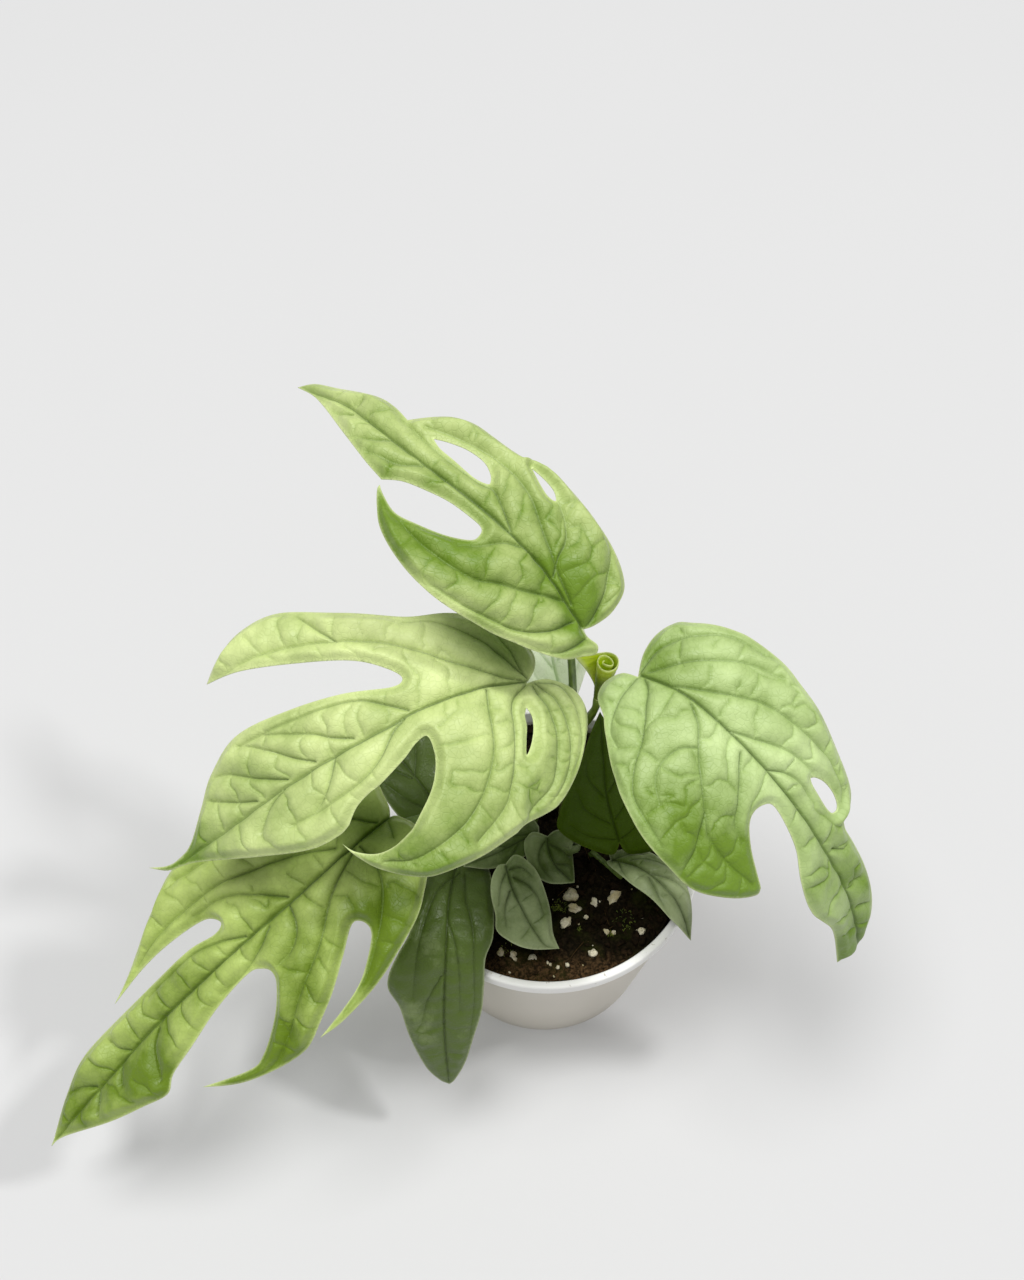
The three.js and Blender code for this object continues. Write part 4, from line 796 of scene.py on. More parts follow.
def ribFrame(leaf, along):
    # the midrib's place, the way the blade faces there and the way to its left
    curve = spline(leaf["rib"], 60)
    gone = lengths(curve)
    total = gone[-1]
    heading = np.gradient(curve, gone, axis=0)
    reach = np.clip(along, 0, total)
    place = pointsAt(curve, reach)
    tangent = unit(np.stack([np.interp(reach, gone, heading[:, k]) for k in range(3)], -1))
    face = between(np.array(leaf["face"], float), (reach / total)[:, None])
    face = unit(face - (face * tangent).sum(-1, keepdims=True) * tangent)
    return place + tangent * (along - reach)[:, None], face, np.cross(face, tangent)


def bendLeaf(leaf, flat):
    # each half rises from the midrib by the fold and then arches down on its own circle,
    # and a ripple along x grows with the distance from the midrib
    x, y = flat[:, 0], flat[:, 1]
    place, face, side = ribFrame(leaf, x)
    across = np.abs(y)
    fold = math.radians(leaf["fold"])
    radius = np.where(y > 0, leaf["curl"][0], leaf["curl"][1])
    slope = across / radius - fold
    reach = radius * (np.sin(slope) + math.sin(fold))
    drop = radius * (math.cos(fold) - np.cos(slope))
    edge = (across / blade["waveReach"]) ** 2
    phase = 2 * math.pi * x / leaf["wave"][1] + np.where(y > 0, 0, blade["wavePhaseRight"])
    ripple = 2 * leaf["wave"][0] * edge / (1 + edge) * np.sin(phase)
    return place + side * (np.sign(y) * reach)[:, None] + face * (ripple - drop)[:, None]


def leafNormals(leaf, flat):
    # square to the bent blade: the cross product of how it moves for a small step along x and along y
    ahead, left = 0.5 * np.eye(2)
    alongX = bendLeaf(leaf, flat + ahead) - bendLeaf(leaf, flat - ahead)
    alongY = bendLeaf(leaf, flat + left) - bendLeaf(leaf, flat - left)
    return unit(np.cross(alongX, alongY))


def nearest(points, starts, ends, reach):
    # from each point to the nearest of many short lines, tile by tile: the distance, no further than
    # reach, which line it is, and the share of that line where it is nearest
    tile = 8.0
    distance = np.full(len(points), float(reach))
    which = np.zeros(len(points), int)
    along = np.zeros(len(points))
    keys, owner = np.unique(np.floor(points / tile).astype(int), axis=0, return_inverse=True)
    order = np.argsort(owner.ravel(), kind="stable")
    edges = np.searchsorted(owner.ravel()[order], np.arange(len(keys) + 1))
    middle = (starts + ends) / 2
    room = reach + tile * 0.71 + np.linalg.norm(ends - starts, axis=1).max() / 2
    for k, key in enumerate(keys):
        near = np.nonzero(np.linalg.norm(middle - (key + 0.5) * tile, axis=1) < room)[0]
        if len(near) == 0:
            continue
        own = order[edges[k]:edges[k + 1]]
        a = starts[near]
        ab = ends[near] - a
        ap = points[own][:, None] - a
        t = np.clip((ap * ab).sum(2) / np.maximum((ab ** 2).sum(1), 1e-9), 0, 1)
        gap = np.linalg.norm(ap - t[..., None] * ab, axis=2)
        best = gap.argmin(1)
        row = np.arange(len(own))
        closer = gap[row, best] < distance[own]
        distance[own[closer]] = gap[row, best][closer]
        which[own[closer]] = near[best[closer]]
        along[own[closer]] = t[row, best][closer]
    return distance, which, along


def insideOf(points, starts, ends):
    # a point is inside where a level line from it crosses the border an odd number of times
    result = np.zeros(len(points), bool)
    for first in range(0, len(points), 4000):
        p = points[first:first + 4000]
        x, y = p[:, :1], p[:, 1:]
        spans = (starts[:, 1] > y) != (ends[:, 1] > y)
        rise = ends[:, 1] - starts[:, 1]
        run = ends[:, 0] - starts[:, 0]
        cross = starts[:, 0] + (y - starts[:, 1]) * run / np.where(rise == 0, 1, rise)
        result[first:first + 4000] = (spans & (x < cross)).sum(1) % 2 == 1
    return result


def lineParts(lines):
    # where each short piece of the lines starts and ends
    return np.vstack([line[:-1] for line in lines]), np.vstack([line[1:] for line in lines])


def carriedOn(line, lines, reach):
    # a tie whose ends are carried on to the nearest of the other lines
    starts, ends = lineParts(lines)
    distance, which, along = nearest(line[[0, -1]], starts, ends, reach)
    feet = starts[which] + along[:, None] * (ends - starts)[which]
    join = (distance < reach) & (distance > 0.5)
    return np.vstack([feet[:1][join[:1]], line, feet[1:][join[1:]]])


filling = {                   # shares are of the step of the grid inside a flat shape
    "rowShare": 0.866,        # the height of a triangle with even sides
    "borderShare": 0.55,
    "veinShare": 0.45,
    "search": 3,
    "rowGap": 0.3,            # between points of crossing rows, and to the border
    "tolerance": 1e-5,
}


def fineLeaf(loops, veinLines, tieLines, step, veinStep):
    # flat points inside the border loops, in rows beside the veins and in a grid of even triangles
    # elsewhere, joined so that no triangle is longer than it need be
    rowShare, search, rowGap = [filling[key] for key in ("rowShare", "search", "rowGap")]
    starts = np.vstack(loops)
    ends = np.vstack([np.roll(loop, -1, axis=0) for loop in loops])
    low, high = starts.min(0), starts.max(0)
    row, column = np.meshgrid(np.arange(math.ceil((high[1] - low[1]) / (step * rowShare)) + 1),
                              np.arange(math.ceil((high[0] - low[0]) / step) + 2), indexing="ij")
    grid = np.stack([low[0] + (column - 0.5 * (row % 2)) * step, low[1] + row * step * rowShare], -1)
    grid = grid.reshape(-1, 2)
    grid = grid[insideOf(grid, starts, ends)]
    grid = grid[nearest(grid, starts, ends, search)[0] > step * filling["borderShare"]]
    rows = []
    for lines, offsets in ((veinLines, blade["veinRows"]), (tieLines, blade["tieRows"])):
        for line in lines:
            path = evenly(line, veinStep)
            heading = unit(np.gradient(path, axis=0))
            aside = np.stack([-heading[:, 1], heading[:, 0]], -1)
            rows += [path + aside * offset for offset in offsets]
        if len(lines):
            away = nearest(grid, *lineParts(lines), search)[0]
            grid = grid[away > max(offsets) + step * filling["veinShare"]]
    if rows:
        rows = np.vstack(rows)
        rows = rows[insideOf(rows, starts, ends)]
        rows = rows[nearest(rows, starts, ends, search)[0] > rowGap]
        squares = np.round(rows / rowGap).astype(int)
        rows = rows[np.sort(np.unique(squares, axis=0, return_index=True)[1])]
        grid = np.vstack([rows, grid])
    border = len(starts)
    edges = []
    first = 0
    for loop in loops:
        index, after = ringPairs(len(loop))
        edges += np.stack([first + index, first + after], -1).tolist()
        first += len(loop)
    everything = np.vstack([starts, grid])
    found = delaunay_2d_cdt(everything.tolist(), edges, [], 0, filling["tolerance"], True)
    points = np.array([(p.x, p.y) for p in found[0]])
    faces = np.array(found[2])
    onBorder = np.array([any(k < border for k in origin) for origin in found[3]])
    allBorder = onBorder[faces].all(1)
    middle = points[faces].mean(1)
    keep = np.ones(len(faces), bool)
    keep[allBorder] = insideOf(middle[allBorder], starts, ends)
    faces = faces[keep]
    corner = points[faces]
    first, second = (corner[:, 1] - corner[:, 0]).T, (corner[:, 2] - corner[:, 0]).T
    turn = first[0] * second[1] - first[1] * second[0]
    faces = np.where((turn < 0)[:, None], faces[:, ::-1], faces)
    used = np.unique(faces)
    renumber = np.full(len(points), -1)
    renumber[used] = np.arange(len(used))
    return points[used], renumber[faces], starts, ends


def openEdges(faces):
    # the edges that only one triangle has, in its own direction
    edges = np.vstack([faces[:, [0, 1]], faces[:, [1, 2]], faces[:, [2, 0]]])
    key = np.sort(edges, axis=1)
    _, inverse, count = np.unique(key, axis=0, return_inverse=True, return_counts=True)
    return edges[count[inverse.ravel()] == 1]


def plateFaces(faces, count):
    # the top faces, the same faces turned over on the points below, and walls round the open edges
    rim = openEdges(faces)
    walls = np.stack([rim[:, 1], rim[:, 0], rim[:, 0] + count, rim[:, 1] + count], -1)
    return [faces, faces[:, ::-1] + count, walls]


def drawnLines(leaf, seed):
    # the border loops, the midrib and side veins, and the ties, carried on to them with a slight wander
    def edge(before, run):
        return evenly(spline([before[-1], *run], mirrored=False), blade["edgeStep"], keepEnd=False)
    runs = leaf["runs"]
    loops = [np.vstack([edge(before, run) for before, run in zip([runs[-1], *runs], runs)])]
    loops += [edge(hole[:1], [*hole[1:], hole[0]]) for hole in leaf["holes"]]
    lines = [evenly(spline(line), blade["lineStep"]) for line in (leaf["midrib"], *leaf["veins"])]
    ties = []
    for tie in leaf["ties"]:
        line = carriedOn(np.array(tie, float), [*lines, *ties], blade["tieReach"])
        line = evenly(line, blade["lineStep"])
        bends = [ripples(line[:, 0], line[:, 1], 6, seed + k) for k in (1, 2)]
        ties.append(line + blade["tieWander"] * np.stack(bends, -1))
    return loops, lines, ties


def makeLeaf(name, leaf, material, seed):
    # each flat point is bent into place and raised along the normal by the relief: the arch between
    # the veins, plus the quilt between the ties, plus soft swells, less the grooves of both; the
    # underside is the thickness below that, and deeper under the midrib and the veins
    loops, lines, ties = drawnLines(leaf, seed)
    midrib, *sides = lines
    flat, faces, starts, ends = fineLeaf(loops, lines, ties, blade["innerStep"], blade["veinStep"])

    search = blade["search"]
    border = nearest(flat, starts, ends, search)[0]
    gaps = [nearest(flat, line[:-1], line[1:], blade["wideSearch"])[0] for line in lines]
    near, second = np.sort(np.stack(gaps, -1), axis=1)[:, :2].T
    strength = np.concatenate([np.linspace(*blade["midribStrength"], len(midrib) - 1)]
                              + [np.linspace(*blade["veinStrength"], len(line) - 1) for line in sides])
    weight = strength[nearest(flat, *lineParts(lines), search)[1]]
    fromMidrib = nearest(flat, midrib[:-1], midrib[1:], search)[0]
    fromTie = nearest(flat, *lineParts(ties), search)[0] if ties else np.full(len(flat), float(search))

    fade = smoothStep(border, *blade["borderFade"])
    away = smoothStep(near, *blade["lineFade"])
    vein = weight * hump(near, blade["veinWidth"] * (0.6 + 0.4 * weight))
    net = hump(fromTie, blade["tieWidth"]) * away * fade
    halfWidth = (near + np.minimum(second, border + near)) / 2
    height = np.minimum(blade["arch"], blade["slope"] * halfWidth) * fade
    arch = height * (1 - (1 - near / np.maximum(halfWidth, 0.01)) ** 2)
    patchEdge = np.minimum(fromTie, near)
    dome = (1 - (1 - np.minimum(patchEdge / blade["cellReach"], 1)) ** 3) * fade
    arched, quilt = leaf["bulge"]
    swell, swellLength = blade["uneven"]
    groove = blade["veinDepth"] * vein * smoothStep(border, *blade["veinFade"])
    relief = (blade["surfaceLift"] - groove + arched * arch
              + quilt * (blade["cellRise"] * dome - blade["cellGroove"] * net)
              + swell * ripples(flat[:, 0], flat[:, 1], swellLength, seed + 7) * fade)

    middle = bendLeaf(leaf, flat)
    normal = leafNormals(leaf, flat)
    thicker = (blade["thickness"] - blade["edgeThickness"]) / 2
    half = blade["edgeThickness"] / 2 + thicker * smoothStep(border, 0, blade["edgeBlend"])
    taper = np.interp(flat[:, 0], [0, flat[:, 0].max()], blade["midribTaper"])
    below = blade["midribBelow"] * hump(fromMidrib, blade["midribWidth"]) * taper + blade["veinBelow"] * vein
    below = below * smoothStep(border, *blade["belowFade"])
    top = middle + normal * (relief + half)[:, None]
    bottom = middle + normal * (relief - half - below)[:, None]

    # painted shade and light: the deeper green spots are partly the leaf's own colour and partly painted
    # shade, and spots of negative strength paint light; all are weaker on the veins
    green = sum(depth * hump(np.linalg.norm(flat - (x, y), axis=1), size)
                for x, y, size, depth in leaf["deepGreenAndShade"])
    least, more, room = blade["deepAndShadeAway"]
    green = np.clip(green, *blade["deepAndShadeLimits"]) * (least + more * np.clip(near / room, 0, 1))
    # hollow is greener beside the veins and ties: partly the leaf's own green along its veins and partly
    # painted shade in their grooves
    tieShift, hollowFade = blade["hollowReach"]
    hollow = np.exp(-np.minimum(near, tieShift + fromTie) / hollowFade) * np.maximum(weight, 0.5)
    values = {"vein": vein, "net": net, "deepGreenAndShade": green, "rim": hump(border, blade["rimWidth"]),
              "hollow": hollow}
    values = {label: np.tile(numbers, 2) for label, numbers in values.items()}
    values["under"] = np.repeat([0.0, 1.0], len(flat))
    parts = plateFaces(faces, len(flat))
    makePiece(name + "_leaf", np.vstack([top, bottom]), parts, material,
              leafColours[leaf["finish"]]["slot"], [name + "_blade"], values, np.vstack([flat, flat]))
    print(name, "leaf:", 2 * (len(faces) + len(parts[2])), "triangles")


leafColours = {   # screen colours of the silver, the green below it, the vein, the rim and the underside
    "silver": {"slot": "silver_leaf", "silver": (211, 225, 152), "green": (104, 134, 32),
               "vein": (78, 102, 38), "veinInk": 0.72, "rim": (226, 238, 172), "rimInk": 0.6,
               "under": (158, 186, 100), "roughness": 0.46, "gloss": 0.4, "mottle": 0.34, "sheen": 0.12},
    "dark": {"slot": "dark_leaf", "silver": (186, 199, 150), "green": (80, 99, 38),
             "vein": (42, 56, 18), "veinInk": 0.5, "rim": (196, 206, 160), "rimInk": 0.6,
             "under": (118, 138, 70), "roughness": 0.38, "gloss": 0.32, "mottle": 0.44, "sheen": 0.05},
    # darker and duller than the dark finish, as painted shade for a leaf deep under the large leaves
    "shadedOlive": {"slot": "dark_leaf", "silver": (104, 126, 22), "green": (60, 82, 0),
              "vein": (34, 50, 0), "veinInk": 0.5, "rim": (110, 130, 40), "rimInk": 0.3,
              "under": (96, 118, 40), "roughness": 0.5, "gloss": 0.1, "mottle": 0.34, "sheen": 0.0},
    # a pale finish, made lighter than the leaf's own colour as painted light
    "paleAndLit": {"slot": "pale_leaf", "silver": (246, 252, 230), "green": (196, 220, 162),
             "vein": (140, 172, 106), "veinInk": 0.6, "rim": (244, 250, 224), "rimInk": 0.5,
             "under": (196, 214, 160), "roughness": 0.5, "gloss": 0.35, "mottle": 0.3, "sheen": 0.12},
}
leafColours["cool"] = {**leafColours["silver"], "silver": (204, 225, 158)}
leafColours["fresh"] = {**leafColours["silver"], "silver": (201, 221, 126), "green": (98, 124, 14)}


def leafMaterial(name, leaf):
    look = leafColours[leaf["finish"]]
    material, tree, shader = startMaterial(name)
    place = put(tree, "UVMap", {"uv_map": "leafMap"}).outputs["UV"]
    fine = noise(tree, place, 38, 4, 0.65)
    meshLine = ranged(tree, cells(tree, place, 60), 0.0, 0.09, 1.0, 0.0)

    # the share of silver is mottled, and less in the deeper green, beside and on the veins; the deeper green
    # and the green beside the veins are partly painted shade, and negative deep strengths paint light
    spread = look["mottle"]
    share = ranged(tree, noise(tree, place, 5.5, 3), 0.3, 0.7, 0.0, spread)
    share = maths(tree, "ADD", leaf["silver"] - 0.13 - spread / 2, share)
    for part, weight in ((maths(tree, "SUBTRACT", 0.6, fine), 0.3), (value(tree, "deepGreenAndShade"), 0.75),
                         (value(tree, "hollow"), leaf["shade"]), (value(tree, "net"), 0.16),
                         (meshLine, 0.05)):
        share = maths(tree, "SUBTRACT", share, times(tree, part, weight))
    top = coats(tree, srgb(*look["green"]), (share, look["silver"]),
                (times(tree, value(tree, "vein"), look["veinInk"], True), look["vein"]),
                (times(tree, value(tree, "rim"), look["rimInk"]), look["rim"]))
    shadier = [part * 0.88 for part in look["under"]]
    below = coats(tree, srgb(*look["under"]), (ranged(tree, fine, 0.3, 0.7), shadier))
    colour = blendColours(tree, ranged(tree, value(tree, "under"), 0.4, 0.6), top, below)
    rough = ranged(tree, fine, 0.3, 0.7, look["roughness"] - 0.06, look["roughness"] + 0.1)
    dress(tree, shader, colour, rough, look["gloss"])
    shader.inputs["Sheen Weight"].default_value = look["sheen"]
    shader.inputs["Sheen Roughness"].default_value = 0.45
    dents = times(tree, meshLine, 0.25)
    bump(tree, shader, maths(tree, "SUBTRACT", times(tree, fine, 0.8), dents), 0.5, 0.0004)
    return material


for seed, (name, leaf) in enumerate(leaves.items()):
    makeLeaf(name, leaf, leafMaterial(name + "LeafSkin", leaf), 100 + 10 * seed)


# stalks and stem

stem = {
    "path": [(7, 13, 60), (7, 13, 78), (6.5, 14, 97), (7.4, 15, 116), (8.5, 15, 129)],
    "radius": (3, 2),
    "nodes": (84, 97, 109, 121),
    "nodeSwell": 0.45,
    "nodeLength": 3,
    "scarAbove": 1.2,
    "scarRise": 0.22,
    "scarWidth": 0.45,
    "sides": 28,
    "step": 0.45,
    "samples": 200,
}
stalks = {
    "footHeights": (66, 72, 77),
    "taper": 1.6,
    "inStem": 0.3,            # how far a stalk starts inside the stem's skin
    "seatAlong": 2,
    "seatDepth": 0.8,
    "seatBend": 5,
    "meet": 0.45,             # how far the stalk goes on into the blade's midrib
    "groove": 0.3,
    "grooveWidth": 0.5,       # an angle, as the wings' are
    "grooveEnd": (0.85, 0.97),
    "wings": 0.22,
    "wingAngle": 0.75,
    "wingWidth": 0.22,
    "wingEnd": (0.45, 0.75),
    "uneven": 0.02,
    "kneeSwell": 0.14,        # the thicker joint just below the blade
    "kneeLength": 7,
    "straight": 0.05,         # a stalk that bends less than this gets its groove from a fixed side
    "sides": 20,
    "step": 0.8,
}


def sweep(path, radius, reference, sides, shape=None):
    # a stalk: rings of points round the path, at the radius times 1 plus the shape's swelling for each
    # share of the length and angle from the grooved side, and a point that closes each end
    tangent = unit(np.gradient(path, axis=0))
    aside = unit(np.cross(reference, tangent))
    inward = np.cross(tangent, aside)
    angle = around(sides)
    share = lengths(path) / lengths(path)[-1]
    reach = radius[:, None] * np.ones(sides)
    if shape:
        reach = reach * (1 + shape(share[:, None], angle[None, :]))
    ring = path[:, None] + reach[..., None] * (np.cos(angle)[:, None] * inward[:, None]
                                               + np.sin(angle)[:, None] * aside[:, None])
    count = len(path) * sides
    points = np.vstack([ring.reshape(-1, 3), path[:1], path[-1:]])
    index, after = ringPairs(sides)
    last = count - sides
    caps = np.vstack([np.stack([after, index, np.full(sides, count)], -1),
                      np.stack([last + index, last + after, np.full(sides, count + 1)], -1)])
    values = {"along": np.concatenate([np.repeat(share, sides), [0, 1]])}
    return points, [gridFaces(len(path), sides, ringed=True), caps], values


def stemSurface():
    # the stem's line, and its radius: narrower upwards, with a bell-shaped swelling at each node
    curve = spline(stem["path"], stem["samples"], centripetal=True)
    share = lengths(curve) / lengths(curve)[-1]
    swell = sum(hump(curve[:, 2] - node, stem["nodeLength"]) for node in stem["nodes"])
    return curve, between(stem["radius"], share) + stem["nodeSwell"] * swell


def makeStem(material):
    # rings round the stem's line, with a low narrow ridge, the leaf's scar, above each node
    curve, radius = stemSurface()
    gone = lengths(curve)
    distance = np.arange(0, gone[-1], stem["step"])
    path = pointsAt(curve, distance)
    thick = np.interp(distance, gone, radius)
    scars = sum(hump(path[:, 2] - node - stem["scarAbove"], stem["scarWidth"]) for node in stem["nodes"])
    thick = thick + stem["scarRise"] * scars

    def uneven(share, angle):
        # three and five shallow sides that wind up the stem
        return 0.03 * np.sin(3 * angle + 9 * share) + 0.025 * np.sin(5 * angle - 14 * share)
    points, faces, values = sweep(path, thick, np.array([0, 1.0, 0]), stem["sides"], uneven)
    values["scar"] = np.concatenate([np.repeat(scars, stem["sides"]), [0, 0]])
    makePiece("climbing_stem", points, faces, material, "stem", ["stem"], values)
    print("stem ready")


def stalkStart(stalk):
    # from its foot in the soil, or just inside the stem's skin at the node's height and bearing
    if "foot" in stalk:
        return [(*stalk["foot"], height) for height in stalks["footHeights"]]
    height, bearing = stalk["node"]
    curve, radius = stemSurface()
    at = np.abs(curve[:, 2] - height).argmin()
    reach = radius[at] + stalk["radius"][0] - stalks["inStem"]
    outward = np.array([math.cos(math.radians(bearing)), math.sin(math.radians(bearing)), 0])
    return [curve[at] + outward * reach]


def makeStalk(name, stalk, end, node, material, swell=True):
    # rings round a curve from the foot or node to the blade: the radius narrows upwards and swells at
    # the knee, and the section has a groove with a wing on each side, which all fade out along it
    path = evenly(spline([*stalkStart(stalk), *stalk["path"], *end], 40, centripetal=True), stalks["step"])
    gone = lengths(path)
    share = gone / gone[-1]
    radius = between(stalk["radius"], np.minimum(1, share * stalks["taper"]))
    fromTop = gone[-1] * (1 - share)
    if swell:
        radius = radius * (1 + stalks["kneeSwell"] * smoothStep(stalks["kneeLength"] - fromTop, 0, 2.5))
    chord = path[-1] - path[0]
    bend = np.cross(unit(chord), unit(path[-1] - path[-6]))
    if np.linalg.norm(bend) < stalks["straight"]:
        bend = np.cross(chord, np.array([0.3, 1.0, 0]))

    def section(share, angle):
        turn = np.angle(np.exp(1j * angle))
        sheath = 1 - smoothStep(share, *stalks["wingEnd"])
        groove = stalks["groove"] * hump(turn, stalks["grooveWidth"])
        groove = groove * (1 - smoothStep(share, *stalks["grooveEnd"]))
        wings = sum(hump(turn + aside * stalks["wingAngle"], stalks["wingWidth"]) for aside in (-1, 1))
        wings = stalks["wings"] * sheath * wings
        return wings - groove + stalks["uneven"] * np.sin(4 * turn + 20 * share)
    upright = np.cross(unit(bend), unit(np.gradient(path, axis=0)))
    points, faces, values = sweep(path, radius, upright, stalks["sides"], section)
    knee = smoothStep(stalks["kneeLength"] - fromTop, 0, 2)
    values["knee"] = np.concatenate([np.repeat(knee, stalks["sides"]), [0, 1]])
    makePiece(name + "_stalk", points, faces, material, "stalk", [node], values)


def streaks(tree, place, squash, *look):
    # noise drawn out upwards
    stretch = put(tree, "Mapping", Vector=place)
    stretch.inputs["Scale"].default_value = (1.0, 1.0, squash)
    return noise(tree, stretch.outputs["Vector"], *look)


def stalkMaterial(name, light, dark):
    material, tree, shader = startMaterial(name)
    place = objectPlace(tree)
    lines = streaks(tree, place, 0.25, 900, 3)
    spots = noise(tree, place, 260, 3)
    low = ranged(tree, value(tree, "along"), 0.0, 0.35, 1.0, 0.0)
    colour = coats(tree, srgb(*dark), (ranged(tree, lines, 0.3, 0.7), light),
                   (times(tree, low, 0.5), (96, 104, 48)),
                   (times(tree, value(tree, "knee"), 0.35), (128, 148, 62)),
                   (ranged(tree, spots, 0.6, 0.75, 0.0, 0.35), (142, 160, 92)))
    dress(tree, shader, colour, ranged(tree, spots, 0.3, 0.7, 0.36, 0.5))
    bump(tree, shader, lines, 0.3, 0.0003)
    return material


def stemMaterial():
    material, tree, shader = startMaterial("stemBark")
    lines = streaks(tree, objectPlace(tree), 0.2, 700, 4, 0.65)
    colour = coats(tree, srgb(82, 98, 40), (ranged(tree, lines, 0.35, 0.65), (122, 134, 66)),
                   (ranged(tree, value(tree, "scar"), 0.3, 0.9, 0.0, 0.8), (132, 116, 76)),
                   (ranged(tree, value(tree, "along"), 0.0, 0.3, 0.7, 0.0), (98, 84, 50)))
    dress(tree, shader, colour, ranged(tree, lines, 0.3, 0.7, 0.5, 0.7))
    bump(tree, shader, lines, 0.5, 0.0006)
    return material


makeStem(stemMaterial())
stalkGreen = stalkMaterial("stalkGreen", (104, 128, 52), (72, 94, 34))
for name, leaf in leaves.items():
    seatFlat = np.array([[stalks["seatAlong"], 0.0]])
    seat, seatNormal = bendLeaf(leaf, seatFlat)[0], leafNormals(leaf, seatFlat)[0]
    depths = (stalks["seatDepth"] + stalks["seatBend"], stalks["seatDepth"],
              stalks["seatDepth"] - stalks["meet"])
    end = [seat - seatNormal * depth for depth in depths]
    makeStalk(name, leaf["stalk"], end, name + "_petiole", stalkGreen)
print("stalks ready")


# the new leaf, still rolled

roll = {
    "axis": [(14, 13.5, 152), (16.1, 16.3, 168)],
    "innerRadius": 1,
    "pitch": 1.45,
    "thickness": 0.5,
    "turns": (0.7, 1.95),
    "startAngle": 0.29,
    "flap": 9,
    "flapFullness": 1.4,
    "flapShare": 0.1,
    "margins": (0.05, 0.03),  # the thin edge's share of the height and of the winding
    "ribs": (7, 9, 0.1),      # how many, how much they lean, and their height
    "lift": 0.5,
    "rows": 60,
    "columns": 190,
    "stalk": {"radius": (1.7, 1.2), "node": (129, 90),
              "path": [(9, 15, 130.2), (12, 14.8, 137), (13.7, 14, 145)]},
    "stalkEnd": [(13.9, 13.4, 151.2), (14.1, 13.6, 153.5)],
}


def makeRoll(material):
    # a strip wound as a spiral round its axis: the angle and the distance from the axis both grow with
    # the share wound, there are more turns towards the top, and the outer edge hangs loose
    foot, top = np.array(roll["axis"], float)
    axis = unit(top - foot)
    right = np.array([1.0, 0, 0]) - axis * axis[0]
    right = right / np.linalg.norm(right)
    back = np.cross(axis, right)
    up, across = np.meshgrid(np.linspace(0, 1, roll["rows"] + 1), np.linspace(0, 1, roll["columns"] + 1),
                             indexing="ij")
    turns = between(roll["turns"], up)
    flap = roll["flap"] * up ** roll["flapFullness"]
    wound = np.minimum(1, across / (1 - roll["flapShare"]))
    loose = np.maximum(0, (across - 1 + roll["flapShare"]) / roll["flapShare"])
    angle = roll["startAngle"] * 2 * math.pi + turns * 2 * math.pi * (wound - 1)
    endMargin, sideMargin = roll["margins"]
    margin = smoothStep(np.minimum(1 - up, up), 0, endMargin) * smoothStep(1 - across, 0, sideMargin)
    ribCount, lean, ribHeight = roll["ribs"]
    ribs = np.abs(np.sin(up * ribCount * math.pi + across * lean))
    sheets = []
    for side in (1, -1):
        thick = roll["thickness"] / 2 * (0.45 + 0.55 * margin)
        radius = roll["innerRadius"] + roll["pitch"] * turns * wound + side * thick
        radius = radius + ribHeight * ribs * margin
        outward = np.cos(angle)[..., None] * right + np.sin(angle)[..., None] * back
        onward = -np.sin(angle)[..., None] * right + np.cos(angle)[..., None] * back
        lift = roll["lift"] * np.sin(angle * 1.5 + 1)[..., None] * up[..., None] ** 6
        sheets.append(foot + (top - foot) * up[..., None] + outward * radius[..., None]
                      + onward * (flap * loose)[..., None] + axis * lift)
    points = np.vstack([sheet.reshape(-1, 3) for sheet in sheets])
    rows, columns = up.shape
    count = rows * columns
    index = np.arange(count).reshape(rows, columns)
    edge = np.concatenate([index[0, :-1], index[:-1, -1], index[-1, :0:-1], index[:0:-1, 0]])
    after = np.roll(edge, -1)
    face = gridFaces(rows, columns)
    walls = np.stack([after, edge, edge + count, after + count], -1)
    values = {label: np.tile(part.ravel(), 2) for label, part in
              (("rim", 1 - margin), ("up", up), ("rib", ribs))}
    values["outside"] = np.repeat([1.0, 0.0], count)
    makePiece("new_leaf_roll", points, [face, face[:, ::-1] + count, walls], material, "new_leaf",
              ["new_leaf"], values)


def rollMaterial():
    material, tree, shader = startMaterial("newLeafSkin")
    fine = noise(tree, objectPlace(tree), 420, 4, 0.6)
    shaded = ranged(tree, value(tree, "up"), 0.5, 0.98, 0.94, 0.3)
    colour = coats(tree, srgb(216, 240, 30), (ranged(tree, fine, 0.3, 0.7), (230, 248, 84)),
                   (times(tree, value(tree, "outside"), shaded), (72, 92, 4)),
                   (ranged(tree, value(tree, "rib"), 0.0, 0.25, 0.3, 0.0), (96, 122, 8)),
                   (times(tree, value(tree, "rim"), 0.85), (240, 250, 170)))
    dress(tree, shader, colour, ranged(tree, fine, 0.3, 0.7, 0.34, 0.46), 0.25)
    bump(tree, shader, fine, 0.25, 0.0003)
    return material


makeRoll(rollMaterial())
makeStalk("new_leaf", roll["stalk"], roll["stalkEnd"], "new_leaf_petiole",
          stalkMaterial("youngStalk", (128, 150, 44), (96, 118, 32)), swell=False)
print("new leaf ready")


# pot

pot = {
    "height": 80, "rimRadius": 50.8, "lipHeight": 4.6, "lipReach": 1.5, "baseRadius": 37.5,
    "wall": 1.1, "floor": 2, "rimRound": 0.7, "footRound": 1.3,
    "drainRadius": 3.5, "drainCircle": 26, "drainCount": 6, "plateInset": 1.2, "lipRound": 0.45,
    "sides": 240, "roundSteps": 6, "wallRows": (2, 71, 36), "innerRows": 30, "holeSides": 40,
    "floorStep": 2.5, "plateOverlap": 0.02,
    "underLip": [(-0.06, -0.9), (0, -0.3), (0.15, -0.05)],    # out from the wall's top, up from the lip
    "innerFoot": [(-0.05, 0.3), (-0.4, 0)],                   # out from the wall, up from the floor
}


def corner(centre, radius, start, end, steps):
    # an arc of the profile, between two angles in degrees
    angle = np.radians(np.linspace(start, end, steps + 1))
    return [(centre[0] + radius * math.cos(a), centre[1] + radius * math.sin(a)) for a in angle]


